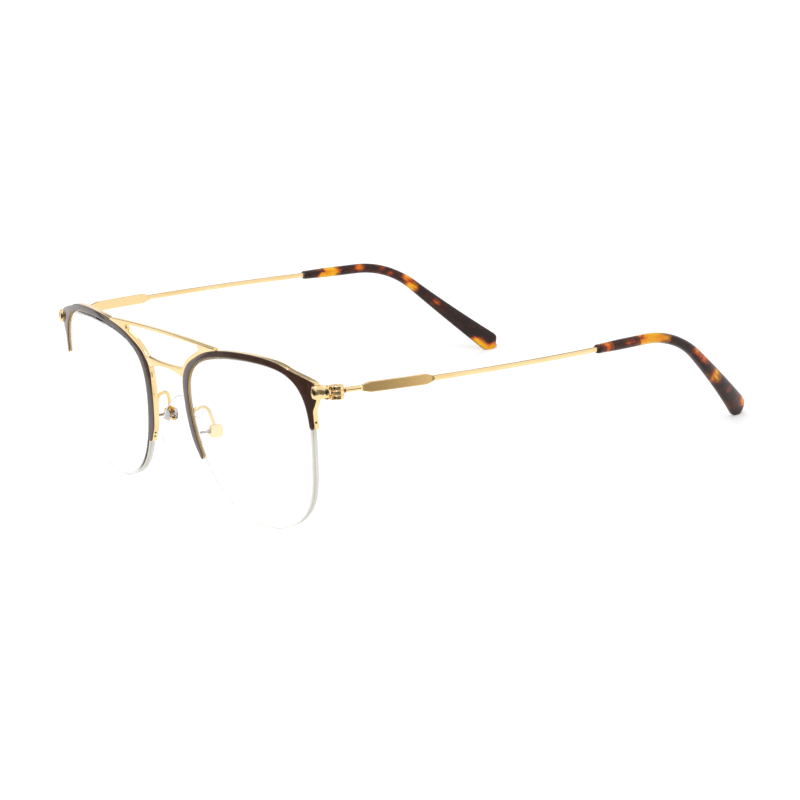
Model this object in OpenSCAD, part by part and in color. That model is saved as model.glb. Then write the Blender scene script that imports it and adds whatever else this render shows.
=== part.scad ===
// Semi-rimless metal eyeglass frame with a double bridge, adjustable nose pads and folding temples.
// Millimetres. +Z is up, +Y runs back along the temples and +X is the wearer's left.
// The frame stands open on the two lens edges and the two tip ends. The origin is on that surface,
// in the middle of the frame's width and depth.

/* [Lenses] */
// Width of each lens
lens_w = 52.3; // [48:0.1:56]
// Height of each lens
lens_h = 43.8; // [38:0.1:48]
// Thickness of each lens
lens_t = 1.7; // [1.5:0.1:2.2]
// Gap between the lenses at the nose
bridge_gap = 23.3; // [18:0.1:26]
// Radius of the lens's front curve
lens_curve = 192; // [120:1:300]
// Angle that each lens turns back towards its outer edge
face_wrap = 5; // [2:0.5:8]
// Lean of the front, with its top edge forwards
front_lean = 1.45; // [0:0.05:4]
// Depth of the lens's front face behind the brow plate's face
lens_set = 0.5; // [0.2:0.05:0.6]
// Width of the groove round the lens's edge
groove_w = 0.5; // [0.4:0.05:0.6]
// Depth of that groove
groove_deep = 0.45; // [0.3:0.05:0.6]

/* [Rims] */
// Thickness of the lacquered brow plate
brow_t = 0.5; // [0.4:0.05:0.6]
// Width of the brow plate at its lower end by the nose
brow_foot_w = 1.8; // [1.5:0.1:2.4]
// Width of the brow plate beside the nose
brow_nose_w = 2.7; // [2:0.1:3.2]
// Width of the brow plate at its inner upper corner
brow_corner_w = 3.1; // [2.4:0.1:3.4]
// Width of the brow plate along the top
brow_top_w = 1.4; // [1.3:0.1:2]
// Width of the brow plate at the middle of the top
brow_mid_w = 1.7; // [1.4:0.1:2.2]
// Width of the brow plate at its outer upper corner
brow_side_w = 1.7; // [1.4:0.1:2.2]
// Width of the brow plate's leg on the temple side
brow_leg_w = 1.85; // [1.5:0.05:2.4]
// Reach of the brow plate's wing past the lens, under the end piece
wing_reach = 3.8; // [3:0.1:5]
// Depth of the gold rim behind the brow plate
rim_deep = 1.2; // [1.1:0.05:1.6]
// How far the gold rim's outside lies in from the brow plate's edge
rim_lip = 0.08; // [0.02:0.01:0.15]
// Depth of the liner's channel in the rim
channel_deep = 0.42; // [0.3:0.02:0.5]
// Radius of the two cord holes at each end of the rim
cord_hole_r = 0.3; // [0.26:0.01:0.34]

/* [Bridge] */
// Height of the top bar's upper edge over the lenses
bar_rise = 2; // [1:0.1:3]
// Height of the top bar's face
bar_h = 0.9; // [0.8:0.05:1.4]
// Rise of the top bar between its ends
bar_crown = 0.6; // [0:0.1:1.5]
// Half the length of the top bar
bar_reach = 28.3; // [24:0.1:32]
// Half the width of the window under the top bar
window_half = 19; // [15:0.1:21]
// Width of the arms that follow the rims down to the lower bridge
arm_w = 1.15; // [0.9:0.05:1.6]
// Depth of the lower bridge's upper edge below the lens tops
lower_drop = 6.9; // [5:0.1:9]
// Height of the lower bridge in its middle
lower_h = 1.05; // [0.9:0.05:1.6]
// Radius of the lower bridge's arched underside
lower_arch_r = 30; // [22:1:60]
// Thickness of the bridge from front to back
bridge_t = 1.2; // [1:0.1:1.5]

/* [Hinges] */
// Distance of the hinge axis outside the lens
hinge_out = 5.95; // [5.5:0.05:7]
// Distance of the hinge axis behind the brow plate's wing
hinge_back = 4.5; // [4.2:0.1:5.5]
// Depth of the hinge below the lens tops
hinge_drop = 5.3; // [4:0.1:7]
// Radius of the hinge barrel
barrel_r = 1.7; // [1.5:0.05:1.8]
// Height of the hinge barrel
barrel_h = 3.4; // [2.8:0.1:3.6]
// Radius of the hinge screw
screw_r = 0.5; // [0.4:0.05:0.6]
// Radial clearance of the screw in the middle knuckle
screw_fit = 0.05; // [0.02:0.01:0.08]
// Gap between one knuckle and the next
knuckle_gap = 0.04; // [0.03:0.01:0.06]
// Width of the end piece's front block
block_w = 2.3; // [2:0.1:2.8]
// How far the front block stands out before the brow plate's wing
block_proud = 0.85; // [0.5:0.05:1]

/* [Temples] */
// Angle that the temples fall towards the back
temple_fall = 5.2; // [3:0.1:8]
// Radius of the temple wire
wire_r = 0.65; // [0.5:0.01:0.7]
// How far the temple wire bows outwards
temple_bow = 4.15; // [3:0.05:6]
// Distance of the widest point of that bow behind the hinge
bow_back = 45.5; // [40:0.5:50]
// Length of the flat plaque on each temple
plaque_len = 19.6; // [16:0.1:24]
// Height of the plaque
plaque_h = 2.6; // [2.2:0.1:3.4]
// Thickness of the plaque
plaque_t = 0.9; // [0.8:0.05:1]
// Distance of the plaque's front end behind the hinge
plaque_back = 5.9; // [5:0.1:8]

/* [Tips] */
// Distance of the tip's mouth behind the hinge
tip_back = 75; // [70:0.5:80]
// Length of the straight part of the tip before the bend
tip_straight = 16.6; // [12:0.1:20]
// Radius of the bend over the ear
tip_bend_r = 26.3; // [20:0.1:36]
// Angle of the bend over the ear
tip_bend = 42.3; // [30:0.1:50]
// How far the tip's end curves inwards
tip_inward = 6.4; // [2:0.1:9]
// Height of the tip at its mouth
tip_mouth_h = 2.3; // [2.2:0.05:3]
// Height of the tip before the bend
tip_neck_h = 2.65; // [2.4:0.05:3.2]
// Height of the paddle at the tip's end
tip_end_h = 6; // [4.5:0.1:7]
// Radius of the upper corner at the tip's end
tip_corner_r = 1.5; // [1:0.1:2.2]
// Thickness of the tip
tip_t = 2.8; // [2.4:0.1:3.4]
// Length of the core wire inside the tip
core_len = 58; // [30:1:58]

/* [Nose pads] */
// Distance of the pad's box outside the lens's inner edge
pad_out = 1; // [0.7:0.1:1.5]
// Distance of the pad's box behind the front
pad_back = 6.2; // [5.8:0.1:8]
// Height of the pad's box over the bottom of the lens
pad_up = 19.9; // [17:0.1:22]
// Length of the silicone pad
pad_len = 14; // [12:0.1:15]
// Width of the silicone pad
pad_w = 8.5; // [7:0.1:8.8]
// Thickness of the silicone pad
pad_t = 2.2; // [2:0.1:2.8]
// Angle that the pads open towards the back
pad_splay = 4; // [0:1:12]
// Angle that the pads open towards the bottom
pad_lean = 12; // [8:1:16]
// Radius of the pad arm's wire
arm_wire_r = 0.45; // [0.4:0.01:0.5]
// Radius of the pad's screw
pad_screw_r = 0.35; // [0.3:0.01:0.4]

/* [Hidden] */
PAIRED = ["brow_plate", "eyewire", "rim_liner", "lens", "nylon_cord", "pad_arm", "pad_box", "pad_screw",
          "pad_core", "nose_pad", "end_piece", "hinge_screw", "temple_knuckle", "temple", "temple_tip"];
$fn = 48;

// Clearance between pieces that are brazed or glued together
seat = 0.02;
// Clearance of the lens's edge inside the rim
edge_fit = 0.06;
// Facets of the large spheres that curve the front
curve_fn = 360;

// The lens outline. It is a closed smooth curve drawn by control points, given as shares of half the
// lens's width and height. They run from the nose side up, over the top and back along the bottom.
LENS_SHAPE = [[-0.93, -0.26], [-1.03, 0.36], [-0.93, 0.79], [-0.44, 0.98], [0.25, 1.03], [0.83, 0.955],
              [1.035, 0.56], [0.98, -0.06], [0.87, -0.63], [0.45, -0.96], [-0.1, -1.02], [-0.65, -0.78]];
SPANS = len(LENS_SHAPE);
// Steps that each span of the outline is drawn with
STEPS = 8;

// A point of the curve, where s counts spans from the first control point
function shape_at(s) =
    let (i = floor(s), f = s - i, p = [for (j = [-1 : 2]) LENS_SHAPE[(i + j + 2 * SPANS) % SPANS]])
    (pow(1 - f, 3) * p[0] + (3 * pow(f, 3) - 6 * f * f + 4) * p[1]
     + (3 * f + 3 * f * f + 1 - 3 * pow(f, 3)) * p[2] + pow(f, 3) * p[3]) / 6;
shape_points = [for (k = [0 : 4 * STEPS * SPANS - 1]) shape_at(k / (4 * STEPS))];
shape_lo = [min([for (p = shape_points) p[0]]), min([for (p = shape_points) p[1]])];
shape_hi = [max([for (p = shape_points) p[0]]), max([for (p = shape_points) p[1]])];
shape_mid = (shape_lo + shape_hi) / 2;
shape_scale = [lens_w / (shape_hi[0] - shape_lo[0]), lens_h / (shape_hi[1] - shape_lo[1])];
function lens_at(s) = let (q = shape_at(s) - shape_mid) [q[0] * shape_scale[0], q[1] * shape_scale[1]];
function out_at(s) = let (d = lens_at(s + 0.01) - lens_at(s - 0.01)) [-d[1], d[0]] / norm(d);

// Where the rim and the brow plate end, on the nose side and on the temple side
rim_start = -0.16;
rim_end = 6.33;
// Length of outline per span, for distances along the rim
span_len = (lens_w + lens_h) * 1.59 / SPANS;

function smooth(a, b, f) = a + (b - a) * (3 - 2 * f) * f * f;
brow_stations = [[rim_start, brow_foot_w], [0.3, brow_nose_w], [0.95, brow_nose_w], [1.4, brow_corner_w],
                 [2.35, brow_top_w], [3.2, brow_mid_w], [4.3, brow_side_w], [5.2, brow_leg_w],
                 [rim_end, brow_leg_w]];
// Width of the brow plate at a place on the outline
function brow_at(s, i = 0) =
    i >= len(brow_stations) - 2 || s < brow_stations[i + 1][0]
        ? let (a = brow_stations[i], b = brow_stations[i + 1], f = (s - a[0]) / (b[0] - a[0]))
          smooth(a[1], b[1], max(0, min(1, f)))
        : brow_at(s, i + 1);

// Points beside the outline: off lies outwards by a distance, and share adds part of the plate's width
function beside(s0, s1, off, share = 0) =
    let (n = ceil((s1 - s0) * STEPS))
    [for (k = [0 : n]) let (s = s0 + (s1 - s0) * k / n) lens_at(s) + out_at(s) * (off + share * brow_at(s))];
function reversed(v) = [for (k = [len(v) - 1 : -1 : 0]) v[k]];
function band(s0, s1, off0, share0, off1, share1) =
    concat(beside(s0, s1, off1, share1), reversed(beside(s0, s1, off0, share0)));
function closed_outline(off) =
    [for (k = [0 : STEPS * SPANS - 1]) let (s = k / STEPS) lens_at(s) + out_at(s) * off];

// Depth of the groove and the channel behind the brow plate's face, in the middle of the gold rim
groove_mid = brow_t + seat + rim_deep / 2;
groove_lo = groove_mid - groove_w / 2;
groove_hi = groove_mid + groove_w / 2;
rim_lo = brow_t + seat;
rim_hi = rim_lo + rim_deep;

// Places in the lens's own frame: x outwards, y back, z up, from the middle of its brow plate's face
function face_y(p, deep) = lens_curve - sqrt(pow(lens_curve - deep, 2) - p[0] * p[0] - p[1] * p[1]);
lens_x = (bridge_gap + lens_w * cos(face_wrap)) / 2;
lens_z = lens_h / 2 * cos(front_lean) - face_y([0, lens_h / 2], lens_set) * sin(front_lean);
// The same places in the model, with y counted back from the middle of the front
function from_lens(p) =
    let (x = p[0] * cos(face_wrap) - p[1] * sin(face_wrap), y = p[0] * sin(face_wrap) + p[1] * cos(face_wrap))
    [lens_x + x, y * cos(front_lean) - p[2] * sin(front_lean), lens_z + y * sin(front_lean)
     + p[2] * cos(front_lean)];

// The brow plate's wing and the hinge that stands on it
wing_x = lens_w / 2 + wing_reach;
wing_z = lens_h / 2 - hinge_drop + 0.85;
wing_face = from_lens([wing_x - 1, face_y([wing_x - 1, wing_z], 0), wing_z])[1];
hinge_x = lens_x + lens_w * cos(face_wrap) / 2 + hinge_out;
hinge_y = wing_face + hinge_back;
hinge_z = lens_h - hinge_drop;
// The wing grows out of the plate between two places on the outline. Its corners are counted inwards
// from its outer end, and upwards or downwards from the middle of the hinge.
wing_from = 4.5;
wing_mid = 5.4;
wing_to = 6.15;
wing_half = barrel_h / 2 + 0.5;
wing_top_in = 2.3;
wing_end_in = 0.3;
wing_shoulder = 1;
wing_foot = [1, 1.6];
wing_toe = [2, 3.2];
function from_rim(s, off) = lens_at(s) + out_at(s) * off;
function wing(inset) = [
    from_rim(wing_from, brow_at(wing_from) - inset),
    [wing_x - wing_top_in, wing_z + wing_half - inset],
    [wing_x - wing_end_in - inset, wing_z + wing_half - wing_shoulder - inset],
    [wing_x - wing_end_in - inset, wing_z - wing_half + inset],
    [wing_x - wing_foot[0] - inset, wing_z - wing_half - wing_foot[1]],
    [wing_x - wing_toe[0] - inset, wing_z - wing_half - wing_toe[1]],
    from_rim(wing_to, brow_at(wing_to) - inset),
    from_rim(wing_to, brow_leg_w / 2),
    from_rim(wing_mid, brow_leg_w / 2),
    from_rim(wing_from, brow_side_w / 2)];

// The temple wire is one arc, which starts at the hinge and bows outwards
bow_r = (bow_back * bow_back + temple_bow * temple_bow) / (2 * temple_bow);
function bow_x(y) = temple_bow - bow_r + sqrt(bow_r * bow_r - pow(y - bow_back, 2));
function bow_turn(y) = -asin((y - bow_back) / bow_r);
wire_start = barrel_r + 0.37;
// The wire stands a little above the middle of the knuckle
wire_up = 0.25;
plaque_mid = plaque_back + plaque_len / 2;
plaque_shoulder_front = 2.6;
plaque_shoulder_back = 2;

// The tip's middle line in the hinge's frame: along the wire, round the ear bend and down
tip_arc = tip_bend_r * tip_bend * PI / 180;
// Behind the bend the tip runs on until its rounded end reaches the surface that the lenses stand on
tip_end_r = tip_end_h / 2;
tip_angle = temple_fall + tip_bend;
tip_drop = (hinge_z + cos(temple_fall) * wire_up
            - sin(temple_fall) * (tip_back + tip_straight + tip_bend_r * sin(tip_bend))
            - cos(temple_fall) * tip_bend_r * (1 - cos(tip_bend)) - tip_end_r * (1 - sin(tip_angle)))
           / sin(tip_angle);
tip_len = tip_straight + tip_arc + tip_drop;
tip_turn = bow_turn(tip_back);
tip_inward_from = 0.41;
function tip_side(s) =
    s < tip_straight ? [s, 0]
    : s < tip_straight + tip_arc
        ? let (a = (s - tip_straight) / tip_arc * tip_bend)
          [tip_straight + tip_bend_r * sin(a), -tip_bend_r * (1 - cos(a))]
        : let (d = s - tip_straight - tip_arc)
          [tip_straight + tip_bend_r * sin(tip_bend) + d * cos(tip_bend),
           -tip_bend_r * (1 - cos(tip_bend)) - d * sin(tip_bend)];
function tip_at(s) =
    let (q = tip_side(s), u = max(0, s / tip_len - tip_inward_from) / (1 - tip_inward_from))
    [bow_x(tip_back) + tan(tip_turn) * s - tip_inward * u * u, tip_back + q[0], q[1] + wire_up];
// Half the tip's height along it, and what its rounded end leaves of each side within a radius
function tip_full(s) =
    let (u = s / tip_len, grow = pow(max(0, u - 0.45) / 0.55, 1.35))
    smooth(tip_mouth_h, tip_neck_h, min(1, u / 0.12)) / 2 + (tip_end_h - tip_neck_h) / 2 * grow;
function tip_round(s, r) = let (e = (tip_len - s) / r) e >= 1 ? 1 : sqrt(max(0, 1 - pow(1 - e, 2)));
function tip_above(s) = tip_full(s) - tip_corner_r * (1 - tip_round(s, tip_corner_r));
function tip_below(s) = tip_full(s) - tip_end_r * (1 - tip_round(s, tip_end_r));
// The mouth has a small chamfer
tip_mouth_len = 0.4;
function tip_mouth(s) = s < tip_mouth_len ? 0.86 + 0.35 * s : 1;
function tip_size(s) =
    [tip_t / 2 * tip_round(s, tip_corner_r), (tip_above(s) + tip_below(s)) / 2] * tip_mouth(s);
function tip_mid(s) = tip_at(s) + [0, sin(tip_bend), cos(tip_bend)] * (tip_above(s) - tip_below(s)) / 2;
tip_rings = concat([0], [for (k = [0 : 30]) tip_mouth_len + (tip_len - tip_end_r - tip_mouth_len) * k / 30],
                   [for (k = [1 : 9]) tip_len - tip_end_r * pow(1 - k / 10, 2)]);

// How far back the frame reaches, and the front's place that puts the origin in the middle
tip_last = tip_at(tip_len);
reach_back = hinge_y + tip_last[1] * cos(temple_fall) + tip_last[2] * sin(temple_fall)
             + tip_corner_r * (1 - cos(tip_angle)) + (tip_end_r - tip_corner_r) * sin(tip_angle);
reach_front = lens_h / 2 * sin(front_lean);
front_y = -(reach_back - reach_front) / 2;

// The nose pad's box, its screw axis and the pad's place in the box's frame
pad_x = bridge_gap / 2 + pad_out;
box_w = 3.4;
box_h = 3.3;
box_t = 1.6;
box_round = 1;
box_wall = 0.25;
box_tilt = -8;
lug_t = 1.2;
lug_r = 0.7;
pad_fit = 0.05;
screw_tail = 2.2;

// Cross product frames for swept tubes: the section's first axis lies as near as can be to a given one
function unit(v) = v / norm(v);
function across(t, near) = unit(near - t * (near * t));
function tube_points(path, sizes, near, sides) =
    [for (k = [0 : len(path) - 1])
        let (t = unit(path[min(k + 1, len(path) - 1)] - path[max(k - 1, 0)]), b = across(t, near),
             c = cross(t, b))
        for (j = [0 : sides - 1])
            path[k] + b * sizes[k][0] * cos(j * 360 / sides) + c * sizes[k][1] * sin(j * 360 / sides)];
function tube_faces(rings, sides) = concat(
    [for (k = [0 : rings - 2]) for (j = [0 : sides - 1])
        [k * sides + j, (k + 1) * sides + j, (k + 1) * sides + (j + 1) % sides]],
    [for (k = [0 : rings - 2]) for (j = [0 : sides - 1])
        [k * sides + j, (k + 1) * sides + (j + 1) % sides, k * sides + (j + 1) % sides]],
    [[for (j = [0 : sides - 1]) j]],
    [[for (j = [sides - 1 : -1 : 0]) (rings - 1) * sides + j]]);
module tube(path, sizes, near, sides) {
    polyhedron(tube_points(path, sizes, near, sides), tube_faces(len(path), sides), convexity = 6);
}

// A smooth curve through points, with a number of steps between each two
function curve_at(p, i, f) =
    let (a = p[max(i - 1, 0)], b = p[i], c = p[min(i + 1, len(p) - 1)], d = p[min(i + 2, len(p) - 1)])
    b + (c - a) * f / 2 + (2 * a - 5 * b + 4 * c - d) * f * f / 2 + (3 * b - a - 3 * c + d) * f * f * f / 2;
function curve_through(p, steps) =
    concat([for (i = [0 : len(p) - 2]) for (k = [0 : steps - 1]) curve_at(p, i, k / steps)], [p[len(p) - 1]]);

// Frames of reference
module on_side(side) {
    if (side > 0) children();
    else mirror([1, 0, 0]) children();
}
module lens_frame(side) {
    on_side(side) translate([lens_x, front_y, lens_z]) rotate([front_lean, 0, 0]) rotate([0, 0, face_wrap])
        children();
}
module hinge_frame(side) {
    on_side(side) translate([hinge_x, front_y + hinge_y, hinge_z]) rotate([-temple_fall, 0, 0]) children();
}
module pad_frame(side) {
    on_side(side) translate([pad_x, front_y + pad_back, pad_up]) rotate([box_tilt, 0, 0]) children();
}

// A flat outline in the lens's x and z, drawn through from front to back
module slab(points) {
    translate([0, 12, 0]) rotate([90, 0, 0]) linear_extrude(15) polygon(points);
}
// The curved layer between two depths behind the brow plate's face
module layer(lo, hi) {
    translate([0, lens_curve, 0]) difference() {
        sphere(r = lens_curve - lo, $fn = curve_fn);
        sphere(r = lens_curve - hi, $fn = curve_fn);
    }
}

module brow_plate(side) {
    color([0.2, 0.13, 0.11]) difference() {
        lens_frame(side) intersection() {
            union() {
                slab(band(rim_start, rim_end, 0.02, 0, 0, 1));
                slab(wing(0));
            }
            layer(0, brow_t);
        }
        hinge_frame(side) end_block(seat);
    }
}

// The two cord holes at each end of the rim, as places on the outline
cord_first = 1.7;
cord_second = 2.85;
cord_places = [rim_start + cord_first / span_len, rim_start + cord_second / span_len,
               rim_end - cord_first / span_len, rim_end - cord_second / span_len];
// A round rod across the rim, from one distance outside the lens's edge to another
module cross_rod(s, from, to, r) {
    p = lens_at(s);
    n = out_at(s);
    translate([p[0] + n[0] * from, face_y(p, groove_mid), p[1] + n[1] * from])
        rotate([0, atan2(n[0], n[1]), 0]) cylinder(h = to - from, r = r, $fn = 24);
}

module rim_body(outer) {
    intersection() {
        slab(band(rim_start, rim_end, edge_fit, 0, outer, 1));
        layer(rim_lo, rim_hi);
    }
}
module eyewire(side) {
    color([0.86, 0.68, 0.38]) lens_frame(side) difference() {
        rim_body(-rim_lip);
        intersection() {
            slab(band(rim_start - 0.3, rim_end + 0.3, -1, 0, channel_deep, 0));
            layer(groove_lo, groove_hi);
        }
        for (s = cord_places) cross_rod(s, -0.5, 5, cord_hole_r);
    }
}

// The liner and the cord both fill the groove, with a small clearance
thread_w = groove_w - 2 * seat;
module groove_thread(s0, s1, outer) {
    intersection() {
        slab(band(s0, s1, seat - groove_deep, 0, outer, 0));
        layer(groove_mid - thread_w / 2, groove_mid + thread_w / 2);
    }
}
liner_start = rim_start + 3.4 / span_len;
liner_end = rim_end - 3.4 / span_len;
thread_gap = 0.05 / span_len;
module rim_liner(side) {
    color([0.92, 0.91, 0.87]) lens_frame(side) groove_thread(liner_start, liner_end, channel_deep - seat);
}
module nylon_cord(side) {
    color([0.93, 0.92, 0.88]) lens_frame(side) {
        groove_thread(liner_end + thread_gap, SPANS + liner_start - thread_gap, -seat);
        for (s = cord_places) cross_rod(s, -0.15, brow_at(s) - rim_lip - seat, cord_hole_r - 0.04);
    }
}

module lens(side) {
    color([0.85, 0.92, 0.95, 0.4]) lens_frame(side) difference() {
        intersection() {
            slab(closed_outline(0));
            layer(lens_set, lens_set + lens_t);
        }
        intersection() {
            difference() {
                slab(closed_outline(2));
                slab(closed_outline(-groove_deep));
            }
            layer(groove_lo, groove_hi);
        }
    }
}

// The bridge is one flat stamping: a top bar, an arm down each rim and the lower bridge
bar_top = lens_h + bar_rise;
lower_top = lens_h - lower_drop;
function bar_z(x) = bar_top - bar_crown * pow(x / bar_reach, 2);
function upper_edge(half, drop) = [for (k = [0 : 24]) let (x = half * (1 - k / 12)) [x, bar_z(x) - drop]];
function arch_edge(half, top, r, sign) =
    [for (k = [0 : 16]) let (x = half * (k / 8 - 1)) [x, top + sign * (r - sqrt(r * r - x * x))]];
lower_half = bridge_gap / 2 - brow_nose_w + 0.4;
bridge_outline = concat(
    upper_edge(bar_reach, 0),
    [[-bar_reach, bar_top - 2.4], [-lower_half - 3, lower_top - 2.4]],
    arch_edge(lower_half, lower_top - lower_h, lower_arch_r, -1),
    [[lower_half + 3, lower_top - 2.4], [bar_reach, bar_top - 2.4]]);
window_outline = concat(
    upper_edge(window_half, bar_h),
    [[-window_half, lower_top + 3]],
    arch_edge(lower_half, lower_top, 90, 1),
    [[window_half, lower_top + 3]]);
bridge_set = 0.1;
// A flat outline as thick as the bridge, and past both of its faces by a margin
module bridge_slab(points, margin) {
    translate([0, front_y + bridge_t - bridge_set + margin, 0]) rotate([90, 0, 0])
        linear_extrude(bridge_t + 2 * margin) polygon(points);
}
// What a rim takes from the bridge, with the width of the arm that follows it
module rim_prism(side, off) {
    lens_frame(side) slab(band(rim_start, 4.6, -12, 0, off, 1));
}
module double_bridge() {
    color([0.86, 0.68, 0.38]) difference() {
        bridge_slab(bridge_outline, 0);
        for (side = [1, -1]) rim_prism(side, seat);
        difference() {
            bridge_slab(window_outline, 1);
            for (side = [1, -1]) rim_prism(side, arm_w);
        }
    }
}

// The end piece: a rounded block before the wing, a waist and a flange that carries the hinge
block_out = 0.1 - barrel_r;
block_front = -hinge_back - block_proud;
flange_back = 0.1 + barrel_r;
corner_r = 0.6;
waist_r = 1.5;
waist_back = -3.65;
// The block's inner front corner is cut off, and its back steps in beside the flange
block_cut = [0.5, 0.4];
flange_in = 0.3;
flange_step = [0.5, 1.2];
function end_plan(grow) = concat(
    [[block_out - block_w - grow, block_front + block_cut[1] - grow],
     [block_out - block_w + block_cut[0], block_front - grow]],
    [for (a = [0 : 15 : 90]) [block_out - corner_r + (corner_r + grow) * sin(a),
                              block_front + corner_r - (corner_r + grow) * cos(a)]],
    [for (a = [0 : 15 : 75]) [block_out + waist_r * (1 - cos(a)) + grow, waist_back + waist_r * sin(a)]],
    [[grow - flange_in, -flange_back - flange_step[0]], [grow - flange_in, -flange_back]],
    [[-barrel_r * 2, -flange_back], [block_out - block_w - grow, -flange_back - flange_step[1]]]);
module end_block(grow) {
    linear_extrude(barrel_h + 2 * grow, center = true) polygon(end_plan(grow));
}
knuckle_h = (barrel_h - 2 * knuckle_gap) / 3;
head_r = 0.95;
head_h = 0.45;
// The screw's slot, the tongue of each outer knuckle, and the middle knuckle's heel and tang
slot_w = 0.24;
slot_deep = 0.2;
tongue_w = 2.1;
tongue_in = 1.2;
tongue_sunk = 0.05;
heel_w = 1.25;
heel_gap = 0.04;
tang_w = 1;
module outer_knuckle(z) {
    translate([0, 0, z]) {
        cylinder(h = knuckle_h, r = barrel_r);
        translate([-tongue_in, -flange_back - tongue_sunk, 0])
            cube([tongue_w, flange_back + tongue_sunk, knuckle_h]);
    }
}
module end_piece(side) {
    color([0.86, 0.68, 0.38]) union() {
        hinge_frame(side) difference() {
            union() {
                end_block(0);
                outer_knuckle(-barrel_h / 2);
                outer_knuckle(barrel_h / 2 - knuckle_h);
            }
            cylinder(h = barrel_h + 2, r = screw_r + seat, center = true);
            translate([0, 0, barrel_h / 2 - head_h - seat]) cylinder(h = 2, r = head_r + seat);
        }
        lens_frame(side) difference() {
            intersection() {
                slab(wing(rim_lip));
                layer(rim_lo, rim_hi);
            }
            slab(band(4.2, rim_end + 0.2, -1, 0, seat - rim_lip, 1));
        }
    }
}
module hinge_screw(side) {
    color([0.8, 0.64, 0.36]) hinge_frame(side) difference() {
        union() {
            translate([0, 0, -barrel_h / 2]) cylinder(h = barrel_h - head_h + 0.1, r = screw_r);
            translate([0, 0, barrel_h / 2 - head_h]) cylinder(h = head_h, r = head_r);
        }
        translate([-head_r - 1, -slot_w / 2, barrel_h / 2 - slot_deep]) cube([2 * head_r + 2, slot_w, 1]);
    }
}
// The middle knuckle has a square heel, which stops against the end piece when the temple is open
module temple_knuckle(side) {
    color([0.86, 0.68, 0.38]) hinge_frame(side) difference() {
        translate([0, 0, -knuckle_h / 2]) {
            cylinder(h = knuckle_h, r = barrel_r);
            translate([0, heel_gap - flange_back, 0]) cube([heel_w, flange_back - heel_gap, knuckle_h]);
            translate([-tang_w / 2, 0, 0]) cube([tang_w, wire_start - seat, knuckle_h]);
        }
        cylinder(h = barrel_h, r = screw_r + screw_fit, center = true);
    }
}

// A stretch of the temple wire between two distances behind the hinge
module wire_stretch(y0, y1) {
    a0 = asin((y0 - bow_back) / bow_r);
    a1 = asin((y1 - bow_back) / bow_r);
    translate([temple_bow - bow_r, bow_back, wire_up]) rotate([0, 0, a0])
        rotate_extrude(angle = a1 - a0, $fn = 720) translate([bow_r, 0]) circle(r = wire_r, $fn = 32);
}
plaque_outline = [
    [-plaque_len / 2, wire_r * 0.8], [plaque_shoulder_front - plaque_len / 2, plaque_h / 2],
    [plaque_len / 2 - plaque_shoulder_back, plaque_h / 2], [plaque_len / 2, wire_r * 0.8],
    [plaque_len / 2, -wire_r * 0.8], [plaque_len / 2 - plaque_shoulder_back, -plaque_h / 2],
    [plaque_shoulder_front - plaque_len / 2, -plaque_h / 2], [-plaque_len / 2, -wire_r * 0.8]];
module plaque() {
    translate([bow_x(plaque_mid), plaque_mid, wire_up]) rotate([0, 0, -bow_turn(plaque_mid)])
        rotate([90, 0, 90]) linear_extrude(plaque_t, center = true) polygon(plaque_outline);
}
core_rings = concat([-0.6], [for (s = tip_rings) if (s < core_len) s], [core_len]);
module core(r, from, sides) {
    path = [for (s = core_rings) tip_at(s < 0 ? from : s)];
    tube(path, [for (p = path) [r, r]], [1, 0, 0], sides);
}
module temple(side) {
    color([0.88, 0.7, 0.4]) hinge_frame(side) {
        wire_stretch(wire_start, plaque_back + 0.5);
        plaque();
        wire_stretch(plaque_back + plaque_len - 0.5, tip_back);
        core(wire_r - 0.05, -0.3, 12);
    }
}
module temple_tip(side) {
    color([0.35, 0.16, 0.06]) hinge_frame(side) difference() {
        tube([for (s = tip_rings) tip_mid(s)], [for (s = tip_rings) tip_size(s)], [1, 0, 0], 20);
        core(wire_r + 0.1, -1.5, 12);
    }
}

// The pad arm: a leg brazed to the back of the rim, a loop over and a drop into the box's top
rim_mid = [-lens_w / 2 - 0.5, 2];
rim_back = from_lens([rim_mid[0], face_y(rim_mid, rim_hi), rim_mid[1]])[1];
leg_y = rim_back + arm_wire_r + 0.05;
// Each place of the route: how far towards the nose from the box, back, and up from the box's middle
leg_in = 1.3;
leg_top_in = 1.75;
arm_route = [
    [leg_in, leg_y, 1.2], [leg_top_in, leg_y, 4.2], [leg_top_in, leg_y + 0.35, 5.4],
    [leg_top_in, leg_y + 1.05, 6.25], [leg_top_in - 0.2, (leg_y + pad_back) / 2 + 0.1, 6.58],
    [leg_in, pad_back - 1.1, 6.25], [leg_in - 0.25, pad_back - 0.55, 5.45],
    [leg_in - 0.5, pad_back - 0.3, 4.4], [leg_in - 0.85, pad_back - 0.2, 3.2],
    [leg_in - 1.2, pad_back - 0.1, 2.1], [-0.1, pad_back, 1.3]];
module pad_arm(side) {
    path = curve_through([for (p = arm_route) [pad_x - p[0], front_y + p[1], pad_up + p[2]]], 3);
    color([0.88, 0.7, 0.4]) on_side(side)
        difference() {
            tube(path, [for (p = path) [arm_wire_r, arm_wire_r]], [1, 0, 0], 12);
            translate([pad_x, front_y + pad_back, pad_up]) rotate([box_tilt, 0, 0]) box_body(seat);
        }
}
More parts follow.
